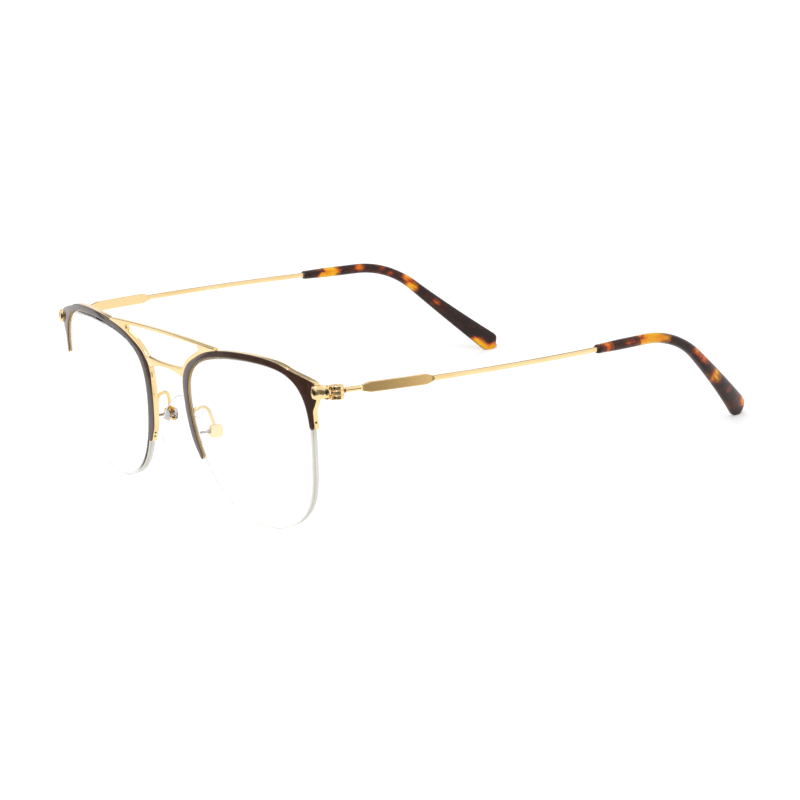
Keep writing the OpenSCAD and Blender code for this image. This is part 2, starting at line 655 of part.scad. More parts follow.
// The box is a small fork with rounded corners, open towards the pad
box_open = lug_r + pad_fit + box_wall - box_t;
module box_body(grow) {
    translate([box_open - grow, 0, 0]) rotate([0, 90, 0]) linear_extrude(box_t + 2 * grow)
        union() {
            for (a = [1, -1]) for (b = [1, -1])
                translate([a * (box_h / 2 - box_round), b * (box_w / 2 - box_round)])
                    circle(r = box_round + grow);
            square([box_h + 2 * grow, box_w - 2 * box_round], center = true);
            square([box_h - 2 * box_round, box_w + 2 * grow], center = true);
        }
}
module pad_box(side) {
    color([0.9, 0.74, 0.46]) pad_frame(side) difference() {
        box_body(0);
        translate([-box_t, -lug_t / 2 - pad_fit, -box_h])
            cube([box_t + lug_r + pad_fit, lug_t + 2 * pad_fit, 2 * box_h]);
        rotate([90, 0, 0]) cylinder(h = 2 * box_w, r = pad_screw_r + seat, center = true, $fn = 24);
    }
}
module pad_screw(side) {
    color([0.35, 0.33, 0.32]) pad_frame(side) rotate([90, 0, 0]) {
        translate([0, 0, -box_w / 2]) cylinder(h = box_w + screw_tail, r = pad_screw_r, $fn = 24);
        translate([0, 0, box_w / 2 + seat]) cylinder(h = 0.5, r = pad_screw_r + 0.3, $fn = 24);
    }
}
// The pad's stiff core: a clear disc inside the silicone with a lug that turns on the screw
pad_gap = 0.65;
pad_tilt = -5;
disc_r = 2;
disc_t = 0.6;
pad_mid = [box_open - pad_gap - pad_t / 2, 0.3, -1.4];
module pad_turn() {
    translate(pad_mid) rotate([pad_tilt, -pad_lean, -pad_splay]) children();
}
module core_solid(grow) {
    pad_turn() rotate([0, 90, 0]) cylinder(h = disc_t + 2 * grow, r = disc_r + grow, center = true);
    translate([pad_mid[0], -lug_t / 2 - grow, -lug_r - grow])
        cube([-pad_mid[0], lug_t + 2 * grow, 2 * (lug_r + grow)]);
}
module pad_core(side) {
    color([0.88, 0.9, 0.9]) pad_frame(side) difference() {
        union() {
            core_solid(0);
            rotate([90, 0, 0]) cylinder(h = lug_t, r = lug_r, center = true);
        }
        rotate([90, 0, 0]) cylinder(h = 2 * lug_t, r = pad_screw_r + pad_fit, center = true, $fn = 24);
    }
}
// The silicone pad is a soft oval pillow, narrower at its top
pad_sides = 28;
pad_layers = 12;
function pad_edge(a) = let (z = sin(a)) [pad_w / 2 * cos(a) * (1 - 0.05 * z), pad_len / 2 * z];
function pad_point(a, b) =
    let (e = pad_edge(a), r = pow(sin(b), 0.55))
    [-cos(b) * pad_t / 2, e[0] * r, e[1] * r];
pad_angles = [for (k = [1 : pad_layers - 1]) 180 * k / pad_layers];
pad_points = concat([[-pad_t / 2, 0, 0]],
    [for (b = pad_angles) for (j = [0 : pad_sides - 1]) pad_point(j * 360 / pad_sides, b)],
    [[pad_t / 2, 0, 0]]);
pad_last = len(pad_points) - 1;
pad_faces = concat(
    [for (j = [0 : pad_sides - 1]) [0, 1 + j, 1 + (j + 1) % pad_sides]],
    [for (k = [0 : pad_layers - 3]) for (j = [0 : pad_sides - 1])
        [1 + k * pad_sides + j, 1 + (k + 1) * pad_sides + j, 1 + k * pad_sides + (j + 1) % pad_sides]],
    [for (k = [0 : pad_layers - 3]) for (j = [0 : pad_sides - 1])
        [1 + k * pad_sides + (j + 1) % pad_sides, 1 + (k + 1) * pad_sides + j,
         1 + (k + 1) * pad_sides + (j + 1) % pad_sides]],
    [for (j = [0 : pad_sides - 1])
        [pad_last, 1 + (pad_layers - 2) * pad_sides + (j + 1) % pad_sides,
         1 + (pad_layers - 2) * pad_sides + j]]);
module nose_pad(side) {
    color([0.9, 0.93, 0.94, 0.5]) pad_frame(side) difference() {
        pad_turn() polyhedron(pad_points, pad_faces, convexity = 4);
        core_solid(seat);
    }
}

double_bridge();
for (side = [1, -1]) {
    tail = side > 0 ? "_left" : "_right";
    brow_plate(side);
    eyewire(side);
    rim_liner(side);
    lens(side);
    nylon_cord(side);
    pad_arm(side);
    pad_box(side);
    pad_screw(side);
    pad_core(side);
    nose_pad(side);
    end_piece(side);
    hinge_screw(side);
    temple_knuckle(side);
    temple(side);
    temple_tip(side);
}
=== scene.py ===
"""Looks of the semi-rimless eyeglass frame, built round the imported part.

Shapes are made in millimetres, on the wearer's left, from the sizes that the part's source uses.
They are then scaled to metres, and mirrored for the right side.
"""
import math
import bmesh
import bpy
import numpy as np
from mathutils import Matrix, Vector
from mathutils.geometry import tessellate_polygon


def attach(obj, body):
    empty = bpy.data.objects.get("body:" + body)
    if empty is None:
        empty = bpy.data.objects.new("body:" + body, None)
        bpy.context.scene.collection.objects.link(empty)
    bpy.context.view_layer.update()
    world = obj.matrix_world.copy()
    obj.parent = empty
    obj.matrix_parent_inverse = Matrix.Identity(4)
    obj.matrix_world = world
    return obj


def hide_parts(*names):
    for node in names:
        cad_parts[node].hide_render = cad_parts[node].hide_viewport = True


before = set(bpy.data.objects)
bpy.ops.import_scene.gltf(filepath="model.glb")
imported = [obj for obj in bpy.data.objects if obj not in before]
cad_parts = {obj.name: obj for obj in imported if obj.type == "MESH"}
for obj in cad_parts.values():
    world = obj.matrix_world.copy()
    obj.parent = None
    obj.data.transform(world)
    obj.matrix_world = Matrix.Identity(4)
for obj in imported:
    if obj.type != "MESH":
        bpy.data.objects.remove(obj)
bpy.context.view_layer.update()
MM = 0.001
WELD = 0.0005 * MM

# Sizes of the front
LENS_W, LENS_H, LENS_T = 52.3, 43.8, 1.7
BRIDGE_GAP = 23.3
LENS_CURVE = 192.0
FACE_WRAP, FRONT_LEAN = 5.0, 1.45
LENS_SET = 0.5
GROOVE_W, GROOVE_DEEP = 0.5, 0.45
BROW_T, BROW_IN = 0.5, 0.02
BROW_LEG_W, BROW_CROWN = 1.85, 0.05
WING_REACH, WING_UP, WING_MARGIN = 3.8, 0.85, 0.5
WING_FROM, WING_TO = 4.5, 6.15
RIM_DEEP, RIM_LIP, CHANNEL_DEEP = 1.2, 0.08, 0.42
CORD_HOLE_R, CORD_R = 0.3, 0.21
CORD_FIRST, CORD_SECOND, CORD_END = 1.7, 2.85, 3.35
SEAT, EDGE_FIT = 0.02, 0.06
RIM_START, RIM_END = -0.16, 6.33
BRIDGE_T, BRIDGE_SET, BRIDGE_ROUND = 1.2, 0.1, 0.28
EDGE_BREAK = 0.14

# Sizes of the hinges and temples
HINGE_OUT, HINGE_BACK, HINGE_DROP = 5.95, 4.5, 5.3
BARREL_R, BARREL_H = 1.7, 3.4
SCREW_R, HEAD_R, HEAD_H = 0.5, 0.95, 0.45
KNUCKLE_GAP, KNUCKLE_OUT, WIRE_SHOULDER = 0.04, 0.1, 0.37
LUG_FROM, LUG_TO = 4.47, 6.16
BLOCK_W, BLOCK_PROUD = 2.3, 0.85
TEMPLE_FALL = 5.2
WIRE_R, WIRE_UP = 0.65, 0.25
TEMPLE_BOW, BOW_BACK = 4.15, 45.5
PLAQUE_LEN, PLAQUE_H, PLAQUE_T, PLAQUE_BACK = 19.6, 2.6, 0.9, 5.9
SHOULDER_FRONT, SHOULDER_BACK = 2.6, 2.0

# Sizes of the tips
TIP_BACK, TIP_STRAIGHT, TIP_BEND_R, TIP_BEND, TIP_INWARD = 75.0, 16.6, 26.3, 42.3, 6.4
TIP_MOUTH_H, TIP_NECK_H, TIP_END_H, TIP_T = 2.3, 2.65, 6.0, 2.8
TIP_CORNER_R = 1.5
CORE_LEN = 58.0
INWARD_FROM = 0.41

# Sizes of the nose pads
PAD_OUT, PAD_BACK, PAD_UP = 1.0, 6.2, 19.9
PAD_LEN, PAD_W, PAD_T = 14.0, 8.5, 2.2
PAD_SPLAY, PAD_LEAN, PAD_TILT = 4.0, 12.0, -5.0
ARM_WIRE_R, PAD_SCREW_R = 0.45, 0.35
LEG_GAP, LEG_IN, LOOP_IN = 0.05, 1.3, 1.75
BOX_W, BOX_H, BOX_T, BOX_ROUND, BOX_WALL, BOX_TILT = 3.4, 3.3, 1.6, 1.0, 0.25, -8.0
LUG_T, LUG_R, PAD_FIT, PAD_GAP, SCREW_TAIL = 1.2, 0.7, 0.05, 0.65, 2.2

# The lens outline's control points, as shares of half its width and height, from the nose up and round
LENS_SHAPE = np.array([
    [-0.93, -0.26], [-1.03, 0.36], [-0.93, 0.79], [-0.44, 0.98], [0.25, 1.03], [0.83, 0.955],
    [1.035, 0.56], [0.98, -0.06], [0.87, -0.63], [0.45, -0.96], [-0.1, -1.02], [-0.65, -0.78]])
SPANS = len(LENS_SHAPE)
SPAN_LEN = (LENS_W + LENS_H) * 1.59 / SPANS
BROW_STATIONS = [(RIM_START, 1.8), (0.3, 2.7), (0.95, 2.7), (1.4, 3.1), (2.35, 1.4), (3.2, 1.7), (4.3, 1.7),
                 (5.2, BROW_LEG_W), (RIM_END, BROW_LEG_W)]


# Curves of the part
def shape_at(s):
    """The lens outline in shares, where s counts spans from the first control point."""
    i = np.floor(s).astype(int)
    f = (s - i)[..., None]
    p = [LENS_SHAPE[(i + j) % SPANS] for j in (-1, 0, 1, 2)]
    return ((1 - f) ** 3 * p[0] + (3 * f ** 3 - 6 * f ** 2 + 4) * p[1]
            + (3 * f + 3 * f ** 2 + 1 - 3 * f ** 3) * p[2] + f ** 3 * p[3]) / 6


OUTLINE = shape_at(np.arange(0, SPANS, 1 / 32))
SHAPE_MID = (OUTLINE.max(0) + OUTLINE.min(0)) / 2
SHAPE_SCALE = np.array([LENS_W, LENS_H]) / (OUTLINE.max(0) - OUTLINE.min(0))


def lens_at(s):
    return (shape_at(np.asarray(s, float)) - SHAPE_MID) * SHAPE_SCALE


def out_at(s):
    d = lens_at(np.asarray(s) + 0.01) - lens_at(np.asarray(s) - 0.01)
    return np.stack([-d[..., 1], d[..., 0]], -1) / np.linalg.norm(d, axis=-1, keepdims=True)


def ease(f):
    f = np.clip(f, 0, 1)
    return (3 - 2 * f) * f * f


def brow_at(s):
    """Width of the brow plate at a place on the outline."""
    s = np.asarray(s, float)
    w = np.full(s.shape, BROW_STATIONS[0][1], float)
    for (s0, w0), (s1, w1) in zip(BROW_STATIONS, BROW_STATIONS[1:]):
        w = np.where(s > s0, w0 + (w1 - w0) * ease((s - s0) / (s1 - s0)), w)
    return w


def face_y(p, deep):
    """Depth of the curved front at a place in the lens's frame, deep behind the brow plate's face."""
    return LENS_CURVE - np.sqrt((LENS_CURVE - deep) ** 2 - (p ** 2).sum(-1))


def on_face(p, deep):
    """Points in the lens's frame, from places on the front and a depth."""
    return np.stack([p[..., 0], face_y(p, deep), p[..., 1]], -1)


def turned(x=0, y=0, z=0):
    """A turn about x, then y, then z, in degrees."""
    m = Matrix.Rotation(math.radians(z), 3, "Z") @ Matrix.Rotation(math.radians(y), 3, "Y")
    return np.array(m @ Matrix.Rotation(math.radians(x), 3, "X"))


def placed(points, place):
    turn, at = place
    return np.asarray(points, float) @ turn.T + np.asarray(at, float)


GROOVE_MID = BROW_T + SEAT + RIM_DEEP / 2
GROOVE_LO, GROOVE_HI = GROOVE_MID - GROOVE_W / 2, GROOVE_MID + GROOVE_W / 2
RIM_LO = BROW_T + SEAT
RIM_HI = RIM_LO + RIM_DEEP
lean = math.radians(FRONT_LEAN)
seen_w = LENS_W * math.cos(math.radians(FACE_WRAP))
lens_x = (BRIDGE_GAP + seen_w) / 2
lens_z = LENS_H / 2 * math.cos(lean) - face_y(np.array([0, LENS_H / 2]), LENS_SET) * math.sin(lean)
front_turn = turned(x=FRONT_LEAN) @ turned(z=FACE_WRAP)


def back_at(p, deep):
    """How far back a place on the front is, before the whole frame is centred."""
    return placed(on_face(p, deep), (front_turn, [lens_x, 0, lens_z]))[1]


wing_x = LENS_W / 2 + WING_REACH
wing_z = LENS_H / 2 - HINGE_DROP + WING_UP
wing_half = BARREL_H / 2 + WING_MARGIN
hinge_x = lens_x + seen_w / 2 + HINGE_OUT
hinge_y = back_at(np.array([wing_x - 1, wing_z]), 0) + HINGE_BACK
hinge_z = LENS_H - HINGE_DROP

bow_r = (BOW_BACK ** 2 + TEMPLE_BOW ** 2) / (2 * TEMPLE_BOW)


def bow_x(y):
    return TEMPLE_BOW - bow_r + np.sqrt(bow_r ** 2 - (y - BOW_BACK) ** 2)


bend = math.radians(TIP_BEND)
fall = math.radians(TEMPLE_FALL)
tip_turn = -math.asin((TIP_BACK - BOW_BACK) / bow_r)
tip_arc = TIP_BEND_R * bend
tip_end_r = TIP_END_H / 2
tip_drop = (hinge_z + math.cos(fall) * WIRE_UP
            - math.sin(fall) * (TIP_BACK + TIP_STRAIGHT + TIP_BEND_R * math.sin(bend))
            - math.cos(fall) * TIP_BEND_R * (1 - math.cos(bend)) - tip_end_r * (1 - math.sin(fall + bend))
            ) / math.sin(fall + bend)
tip_len = TIP_STRAIGHT + tip_arc + tip_drop


def tip_at(s):
    """The tip's middle line in the hinge's frame: along the wire, round the ear bend and down."""
    s = np.asarray(s, float)
    a = np.clip((s - TIP_STRAIGHT) / TIP_BEND_R, 0, bend)
    d = np.maximum(s - TIP_STRAIGHT - tip_arc, 0)
    along = np.minimum(s, TIP_STRAIGHT) + TIP_BEND_R * np.sin(a) + d * math.cos(bend)
    drop = TIP_BEND_R * (1 - np.cos(a)) + d * math.sin(bend)
    u = np.maximum(0, s / tip_len - INWARD_FROM) / (1 - INWARD_FROM)
    x = bow_x(TIP_BACK) + math.tan(tip_turn) * s - TIP_INWARD * u * u
    return np.stack([x, TIP_BACK + along, WIRE_UP - drop], -1)


tip_last = tip_at(tip_len)
reach_back = (hinge_y + tip_last[1] * math.cos(fall) + tip_last[2] * math.sin(fall)
              + TIP_CORNER_R * (1 - math.cos(fall + bend))
              + (tip_end_r - TIP_CORNER_R) * math.sin(fall + bend))
front_y = -(reach_back - LENS_H / 2 * math.sin(lean)) / 2

LENS_FRAME = (front_turn, [lens_x, front_y, lens_z])
HINGE_FRAME = (turned(x=-TEMPLE_FALL), [hinge_x, front_y + hinge_y, hinge_z])
pad_x = BRIDGE_GAP / 2 + PAD_OUT
PAD_FRAME = (turned(x=BOX_TILT), [pad_x, front_y + PAD_BACK, PAD_UP])
box_open = LUG_R + PAD_FIT + BOX_WALL - BOX_T
PAD_TURN = (turned(x=PAD_TILT, y=-PAD_LEAN, z=-PAD_SPLAY), [box_open - PAD_GAP - PAD_T / 2, 0.3, -1.4])


# Meshes are (points, faces, material numbers) until they become objects
def strip(a, b, n):
    """Faces between two rings of n points that start at a and at b."""
    return [(a + j, a + (j + 1) % n, b + (j + 1) % n, b + j) for j in range(n)]


def skin(rings, strips=None, cap=0):
    """Faces over rings of points. strips gives each strip along the rings its material."""
    n, m = rings.shape[:2]
    faces = [face for i in range(n - 1) for face in strip(i * m, (i + 1) * m, m)]
    faces += [tuple(range(m)), tuple(range((n - 1) * m, n * m))]
    return rings.reshape(-1, 3), faces, (strips or [0] * m) * (n - 1) + [cap, cap]


def joined(*parts):
    points, faces, kinds = [], [], []
    for p, f, k in parts:
        start = sum(len(q) for q in points)
        points.append(np.asarray(p, float))
        faces += [tuple(v + start for v in face) for face in f]
        kinds += k
    return np.concatenate(points), faces, kinds


def moved(part, place):
    return placed(part[0], place), part[1], part[2]


def lifted(part, height):
    return moved(part, (np.eye(3), [0, 0, height]))


def edge(half, bevel, crown=0.0, steps=5):
    """(inset, height) of a rounded edge from the lower face up to the upper one."""
    a = np.linspace(0, math.pi / 2, steps)
    inset = bevel * (1 - np.cos(a))
    height = half - bevel + bevel * np.sin(a)
    top = np.stack([inset, height], 1)
    sides = np.linspace(-1, 1, 7)[1:-1] * (half - bevel) if crown else []
    rows = [(i, -h) for i, h in top[::-1]] + [(0, h) for h in sides] + [tuple(r) for r in top]
    return np.array([(i + crown * (h / half) ** 2, h) for i, h in rows])


def plate(loops, profile):
    """A flat piece with rounded edges. Outer loops run anticlockwise, holes clockwise."""
    verts, faces, caps = [], [], ([], [])
    for loop in loops:
        d = np.roll(loop, -1, 0) - np.roll(loop, 1, 0)
        out = np.stack([d[:, 1], -d[:, 0]], 1) / np.linalg.norm(d, axis=1, keepdims=True)
        start = sum(len(v) for v in verts)
        n = len(loop)
        for inset, height in profile:
            verts.append(np.column_stack([loop - out * inset, np.full(n, height)]))
        for r in range(len(profile) - 1):
            faces += strip(start + r * n, start + (r + 1) * n, n)
        caps[0].append(range(start, start + n))
        caps[1].append(range(start + (len(profile) - 1) * n, start + len(profile) * n))
    points = np.concatenate(verts)
    for cap in caps:
        flat = [i for ring in cap for i in ring]
        for tri in tessellate_polygon([[Vector(points[i]) for i in ring] for ring in cap]):
            faces.append(tuple(flat[t] for t in tri))
    return points, faces, [0] * len(faces)


def circle(r, clockwise=False, n=64):
    a = np.arange(n) / n * 2 * math.pi * (-1 if clockwise else 1)
    return np.stack([r * np.cos(a), r * np.sin(a)], 1)


def rounded_box(x0, y0, x1, y1, r, n=6):
    """A rectangle with round corners, anticlockwise."""
    loop = []
    corners = ((x1 - r, y1 - r, 0), (x0 + r, y1 - r, 90), (x0 + r, y0 + r, 180), (x1 - r, y0 + r, 270))
    for cx, cy, a0 in corners:
        for a in np.radians(np.linspace(a0, a0 + 90, n)):
            loop.append((cx + r * math.cos(a), cy + r * math.sin(a)))
    return np.array(loop)


def lathe(profile, sides=40):
    """A turned piece from (radius, height) pairs."""
    a = np.arange(sides) / sides * 2 * math.pi
    return skin(np.array([[(r * math.cos(t), r * math.sin(t), z) for t in a] for r, z in profile]))


def softened(loop, spacing, blur):
    """The closed loop with even points, its corners rounded by a blur of about that length."""
    closed = np.vstack([loop, loop[:1]])
    length = np.concatenate([[0], np.cumsum(np.linalg.norm(np.diff(closed, axis=0), axis=1))])
    n = max(12, int(length[-1] / spacing))
    at = np.arange(n) / n * length[-1]
    even = np.stack([np.interp(at, length, closed[:, c]) for c in (0, 1)], 1)
    reach = int(3 * blur / spacing)
    weights = np.exp(-0.5 * (np.arange(-reach, reach + 1) * spacing / blur) ** 2)
    return sum(w * np.roll(even, k, 0) for k, w in zip(range(-reach, reach + 1), weights)) / weights.sum()


def framed(path, near):
    """Two directions across a path: the first as near as can be to a given one."""
    t = np.gradient(path, axis=0)
    t /= np.linalg.norm(t, axis=1, keepdims=True)
    b = near - t * (t @ near)[:, None]
    b /= np.linalg.norm(b, axis=1, keepdims=True)
    return b, np.cross(t, b)


def swept(path, half_b, half_c, power, near=(1, 0, 0), sides=40):
    """A tube whose section goes from an ellipse (power 2) to a rounded rectangle (higher powers)."""
    b, c = framed(path, np.array(near, float))
    a = (np.arange(sides) + 0.5) / sides * 2 * math.pi
    half_b, half_c, power = (np.broadcast_to(v, len(path))[:, None] for v in (half_b, half_c, power))
    u = np.sign(np.cos(a)) * np.abs(np.cos(a)) ** (2 / power) * half_b
    v = np.sign(np.sin(a)) * np.abs(np.sin(a)) ** (2 / power) * half_c
    return skin(path[:, None] + b[:, None] * u[..., None] + c[:, None] * v[..., None])


def through(points, steps):
    """A smooth curve through points."""
    p = np.array(points, float)
    out = []
    for i in range(len(p) - 1):
        a, b, c, d = p[max(i - 1, 0)], p[i], p[i + 1], p[min(i + 2, len(p) - 1)]
        for f in np.arange(steps) / steps:
            out.append(b + (c - a) * f / 2 + (2 * a - 5 * b + 4 * c - d) * f ** 2 / 2
                       + (3 * b - a - 3 * c + d) * f ** 3 / 2)
    return np.array(out + [p[-1]])


# Objects
def linked(name, data):
    obj = bpy.data.objects.new(name, data)
    bpy.context.scene.collection.objects.link(obj)
    return obj


def face_out(mesh, weld=0.0):
    """Turns the faces outwards, after a weld of points closer than a distance."""
    bm = bmesh.new()
    bm.from_mesh(mesh)
    if weld:
        bmesh.ops.remove_doubles(bm, verts=bm.verts, dist=weld)
    bmesh.ops.recalc_face_normals(bm, faces=bm.faces)
    bm.to_mesh(mesh)
    bm.free()


def build(name, part, side, body, finishes, replaces, sharp=35, even=False, grain=None):
    """The object of a part in the model's frame, mirrored for the right side."""
    points, faces, kinds = part
    mesh = bpy.data.meshes.new(name)
    mesh.from_pydata((np.asarray(points) * [side, 1, 1] * MM).tolist(), [], faces)
    for finish in finishes:
        mesh.materials.append(finish)
    mesh.polygons.foreach_set("material_index", kinds)
    if grain is not None:
        mesh.attributes.new("grain", "FLOAT_VECTOR", "POINT").data.foreach_set("vector", np.ravel(grain))
    face_out(mesh, WELD)
    mesh.shade_smooth()
    mesh.set_sharp_from_angle(angle=math.radians(sharp))
    obj = linked(name, mesh)
    if even:
        obj.modifiers.new("even", "WEIGHTED_NORMAL").keep_sharp = True
    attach(obj, body)
    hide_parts(*replaces)
    return obj


def cut(obj, part, side):
    """Takes a closed part out of an object."""
    mesh = bpy.data.meshes.new("cutter")
    mesh.from_pydata((np.asarray(part[0]) * [side, 1, 1] * MM).tolist(), [], part[1])
    face_out(mesh)
    tool = linked("cutter", mesh)
    hole = obj.modifiers.new("cut", "BOOLEAN")
    hole.object = tool
    hole.operation = "DIFFERENCE"
    hole.solver = "EXACT"
    bpy.context.view_layer.update()
    done = bpy.data.meshes.new_from_object(obj.evaluated_get(bpy.context.evaluated_depsgraph_get()))
    obj.modifiers.remove(hole)
    obj.data = done
    done.set_sharp_from_angle(angle=math.radians(35))
    bpy.data.objects.remove(tool)


# Materials
class Finish:
    """A material under construction: its nodes, and short ways to join them."""

    def __init__(self, name, **sockets):
        self.material = bpy.data.materials.new(name)
        self.material.use_nodes = True
        self.nodes = self.material.node_tree.nodes
        self.links = self.material.node_tree.links
        self.shader = self.nodes["Principled BSDF"]
        self.fill(self.shader, **sockets)
        self.place = self.nodes.new("ShaderNodeTexCoord").outputs["Object"]

    def fill(self, node, **sockets):
        """Sets a node's inputs to values, or joins them to other nodes."""
        for key, value in sockets.items():
            socket = node.inputs[key.replace("_", " ")]
            if isinstance(value, bpy.types.NodeSocket):
                self.links.new(value, socket)
            else:
                socket.default_value = value

    def made(self, kind, output, **sockets):
        node = self.nodes.new("ShaderNode" + kind)
        self.fill(node, **sockets)
        return node.outputs[output]

    def stretched(self, source, scale):
        return self.made("Mapping", "Vector", Vector=source, Scale=scale)

    def noise(self, scale, detail=4, rough=0.5, source=None):
        return self.made("TexNoise", "Fac", Vector=source or self.place, Scale=scale, Detail=detail,
                         Roughness=rough)

    def ramp(self, source, stops, smooth=False):
        node = self.nodes.new("ShaderNodeValToRGB")
        if smooth:
            node.color_ramp.interpolation = "EASE"
        ends = node.color_ramp.elements
        while len(ends) < len(stops):
            ends.new(0.5)
        for e, (at, colour) in zip(ends, sorted(stops, key=lambda stop: stop[0])):
            e.position = at
            e.color = (*colour, 1)
        self.links.new(source, node.inputs["Fac"])
        return node.outputs["Color"]

    def span(self, source, low, high, from_low=0.3, from_high=0.7):
        return self.made("MapRange", "Result", Value=source, From_Min=from_low, From_Max=from_high,
                         To_Min=low, To_Max=high)

    def math(self, kind, a, b):
        node = self.nodes.new("ShaderNodeMath")
        node.operation = kind
        for i, value in enumerate((a, b)):
            if isinstance(value, (int, float)):
                node.inputs[i].default_value = value
            else:
                self.links.new(value, node.inputs[i])
        return node.outputs["Value"]

    def bump(self, height, strength, distance):
        self.feed("Normal", self.made("Bump", "Normal", Height=height, Strength=strength, Distance=distance))

    def feed(self, key, source):
        self.links.new(source, self.shader.inputs[key])


def polished_metal(name, light, deep, low=0.07, high=0.14, marks=0.05):
    """Plated metal, buffed: slow changes of tone, fine buffing marks in the gloss."""
    f = Finish(name, Metallic=1.0)
    f.feed("Base Color", f.ramp(f.noise(90, 3), [(0.35, deep), (0.65, light)]))
    f.feed("Roughness", f.span(f.noise(1500, 6, 0.6), low, high))
    f.bump(f.noise(2600, 3), marks, 0.01 * MM)
    return f.material


def satin_metal(name, light, deep):
    """Brushed metal, its fine lines running front to back."""
    f = Finish(name, Metallic=1.0)
    lines = f.noise(1.0, 5, 0.65, f.stretched(f.place, (9000, 160, 9000)))
    f.feed("Base Color", f.ramp(lines, [(0.3, deep), (0.7, light)]))
    f.feed("Roughness", f.span(lines, 0.3, 0.44))
    f.bump(lines, 0.25, 0.01 * MM)
    return f.material


def lacquer(name):
    """Dark brown lacquer under a clear gloss, with a slight orange peel."""
    f = Finish(name, Coat_Weight=1.0, Coat_Roughness=0.06, Coat_IOR=1.45, IOR=1.3)
    browns = [(0.35, (0.042, 0.015, 0.007)), (0.7, (0.075, 0.028, 0.014))]
    f.feed("Base Color", f.ramp(f.noise(400, 5), browns))
    f.feed("Roughness", f.span(f.noise(2200, 4), 0.4, 0.55))
    f.bump(f.noise(700, 2), 0.06, 0.01 * MM)
    return f.material


def clear(name, tint, ior, low, high, scale=1200, bump=0.02):
    """A clear plastic: slight haze, very slight waviness."""
    f = Finish(name, Transmission_Weight=1.0, IOR=ior)
    paler = tuple(min(1.0, c * 1.012) for c in tint)
    f.feed("Base Color", f.ramp(f.noise(60, 2), [(0.3, tint), (0.7, paler)]))
    f.feed("Roughness", f.span(f.noise(scale, 3), low, high))
    if bump:
        f.bump(f.noise(scale / 4, 2), bump, 0.01 * MM)
    return f.material


def ground(name, tint):
    """The lens's ground edge: white and dull."""
    f = Finish(name, Transmission_Weight=0.05, IOR=1.3)
    paler = tuple(min(1.0, c * 1.03) for c in tint)
    f.feed("Base Color", f.ramp(f.noise(300, 3), [(0.3, tint), (0.7, paler)]))
    f.feed("Roughness", f.span(f.noise(2000, 4), 0.55, 0.75))
    f.bump(f.noise(1500, 3), 0.1, 0.01 * MM)
    return f.material


GRAIN_LEN = 70.0


def tortoise(name, warmth, spots):
    """Acetate with amber clouds in dark brown. warmth gives how amber it is along the tip's length. Each
    spot is its distance along the tip, its height above the middle, two half sizes, and how amber it is."""
    f = Finish(name, Coat_Weight=0.3, Coat_Roughness=0.05, IOR=1.27, Transmission_Weight=0.8)
    grain = f.nodes.new("ShaderNodeAttribute")
    grain.attribute_name = "grain"
    place = grain.outputs["Vector"]
    split = f.nodes.new("ShaderNodeSeparateXYZ")
    f.links.new(place, split.inputs["Vector"])
    drift = f.span(f.noise(0.3, 2, 0.5, place), -1.3, 1.3)
    slant = f.math("MULTIPLY", split.outputs["Y"], 0.5)
    along = f.math("ADD", f.math("ADD", split.outputs["X"], drift), slant)
    share = f.math("DIVIDE", along, GRAIN_LEN)
    band = f.ramp(share, [(s / GRAIN_LEN, (w, w, w)) for s, w in warmth], smooth=True)
    clouds = f.span(f.noise(0.5, 3, 0.5, f.stretched(place, (0.7, 1.0, 1.0))), -0.16, 0.16)
    flecks = f.span(f.noise(2.4, 3, 0.55, f.stretched(place, (0.5, 1.0, 1.0))), -0.07, 0.07)
    for s, up, half_s, half_up, warm in spots:
        spot = f.made("Mapping", "Vector", Vector=place, Location=(-s / half_s, up / half_up, 0),
                      Scale=(1 / half_s, 1 / half_up, 0))
        away = f.nodes.new("ShaderNodeVectorMath")
        away.operation = "LENGTH"
        f.links.new(spot, away.inputs[0])
        band = f.math("MAXIMUM", band, f.span(away.outputs["Value"], warm, 0.2, 0.5, 1.3))
    heat = f.math("ADD", f.math("ADD", band, clouds), flecks)
    colour = f.ramp(heat, [(0.1, (0.012, 0.004, 0.003)), (0.34, (0.035, 0.009, 0.005)),
                           (0.48, (0.16, 0.02, 0.004)), (0.62, (0.72, 0.11, 0.004)),
                           (0.8, (0.97, 0.4, 0.003)), (1.0, (1.0, 0.62, 0.006))])
    f.feed("Base Color", colour)
    f.feed("Roughness", f.span(f.noise(4.0, 4, 0.6, place), 0.25, 0.38))
    f.bump(f.noise(1.2, 3, 0.5, place), 0.04, 0.02 * MM)
    return f.material


GOLD = (0.98, 0.75, 0.41), (0.93, 0.68, 0.33)
POLISHED = polished_metal("polished_gold", *GOLD)
SATIN = satin_metal("satin_gold", (0.85, 0.58, 0.25), (0.76, 0.5, 0.2))
HINGE_GOLD = polished_metal("hinge_gold", *GOLD, 0.12, 0.18, 0.01)
INNER_GOLD = satin_metal("inner_gold", (0.97, 0.76, 0.42), (0.9, 0.66, 0.32))
DARK_STEEL = polished_metal("dark_steel", (0.4, 0.34, 0.32), (0.24, 0.2, 0.2), 0.2, 0.35)
PAD_PLATE = satin_metal("pad_plate", (0.8, 0.79, 0.79), (0.5, 0.48, 0.48))
LACQUER = lacquer("brown_lacquer")
LENS = clear("demo_lens", (0.985, 0.99, 0.985), 1.49, 0.0, 0.012, 400, 0)
GROUND_EDGE = ground("ground_lens_edge", (0.97, 0.96, 0.91))
# Painted reflection: the lens's edge inside the rim is pale gold metal, standing in for the rim it mirrors
PAINTED_RIM_REFLECTION = satin_metal("lens_edge_painted_rim_reflection", (1.0, 0.9, 0.66), (0.97, 0.84, 0.58))
NYLON = clear("clear_nylon", (0.95, 0.93, 0.86), 1.05, 0.02, 0.06)
SILICONE = clear("clear_silicone", (0.975, 0.98, 0.975), 1.14, 0.03, 0.1, 900, 0.04)
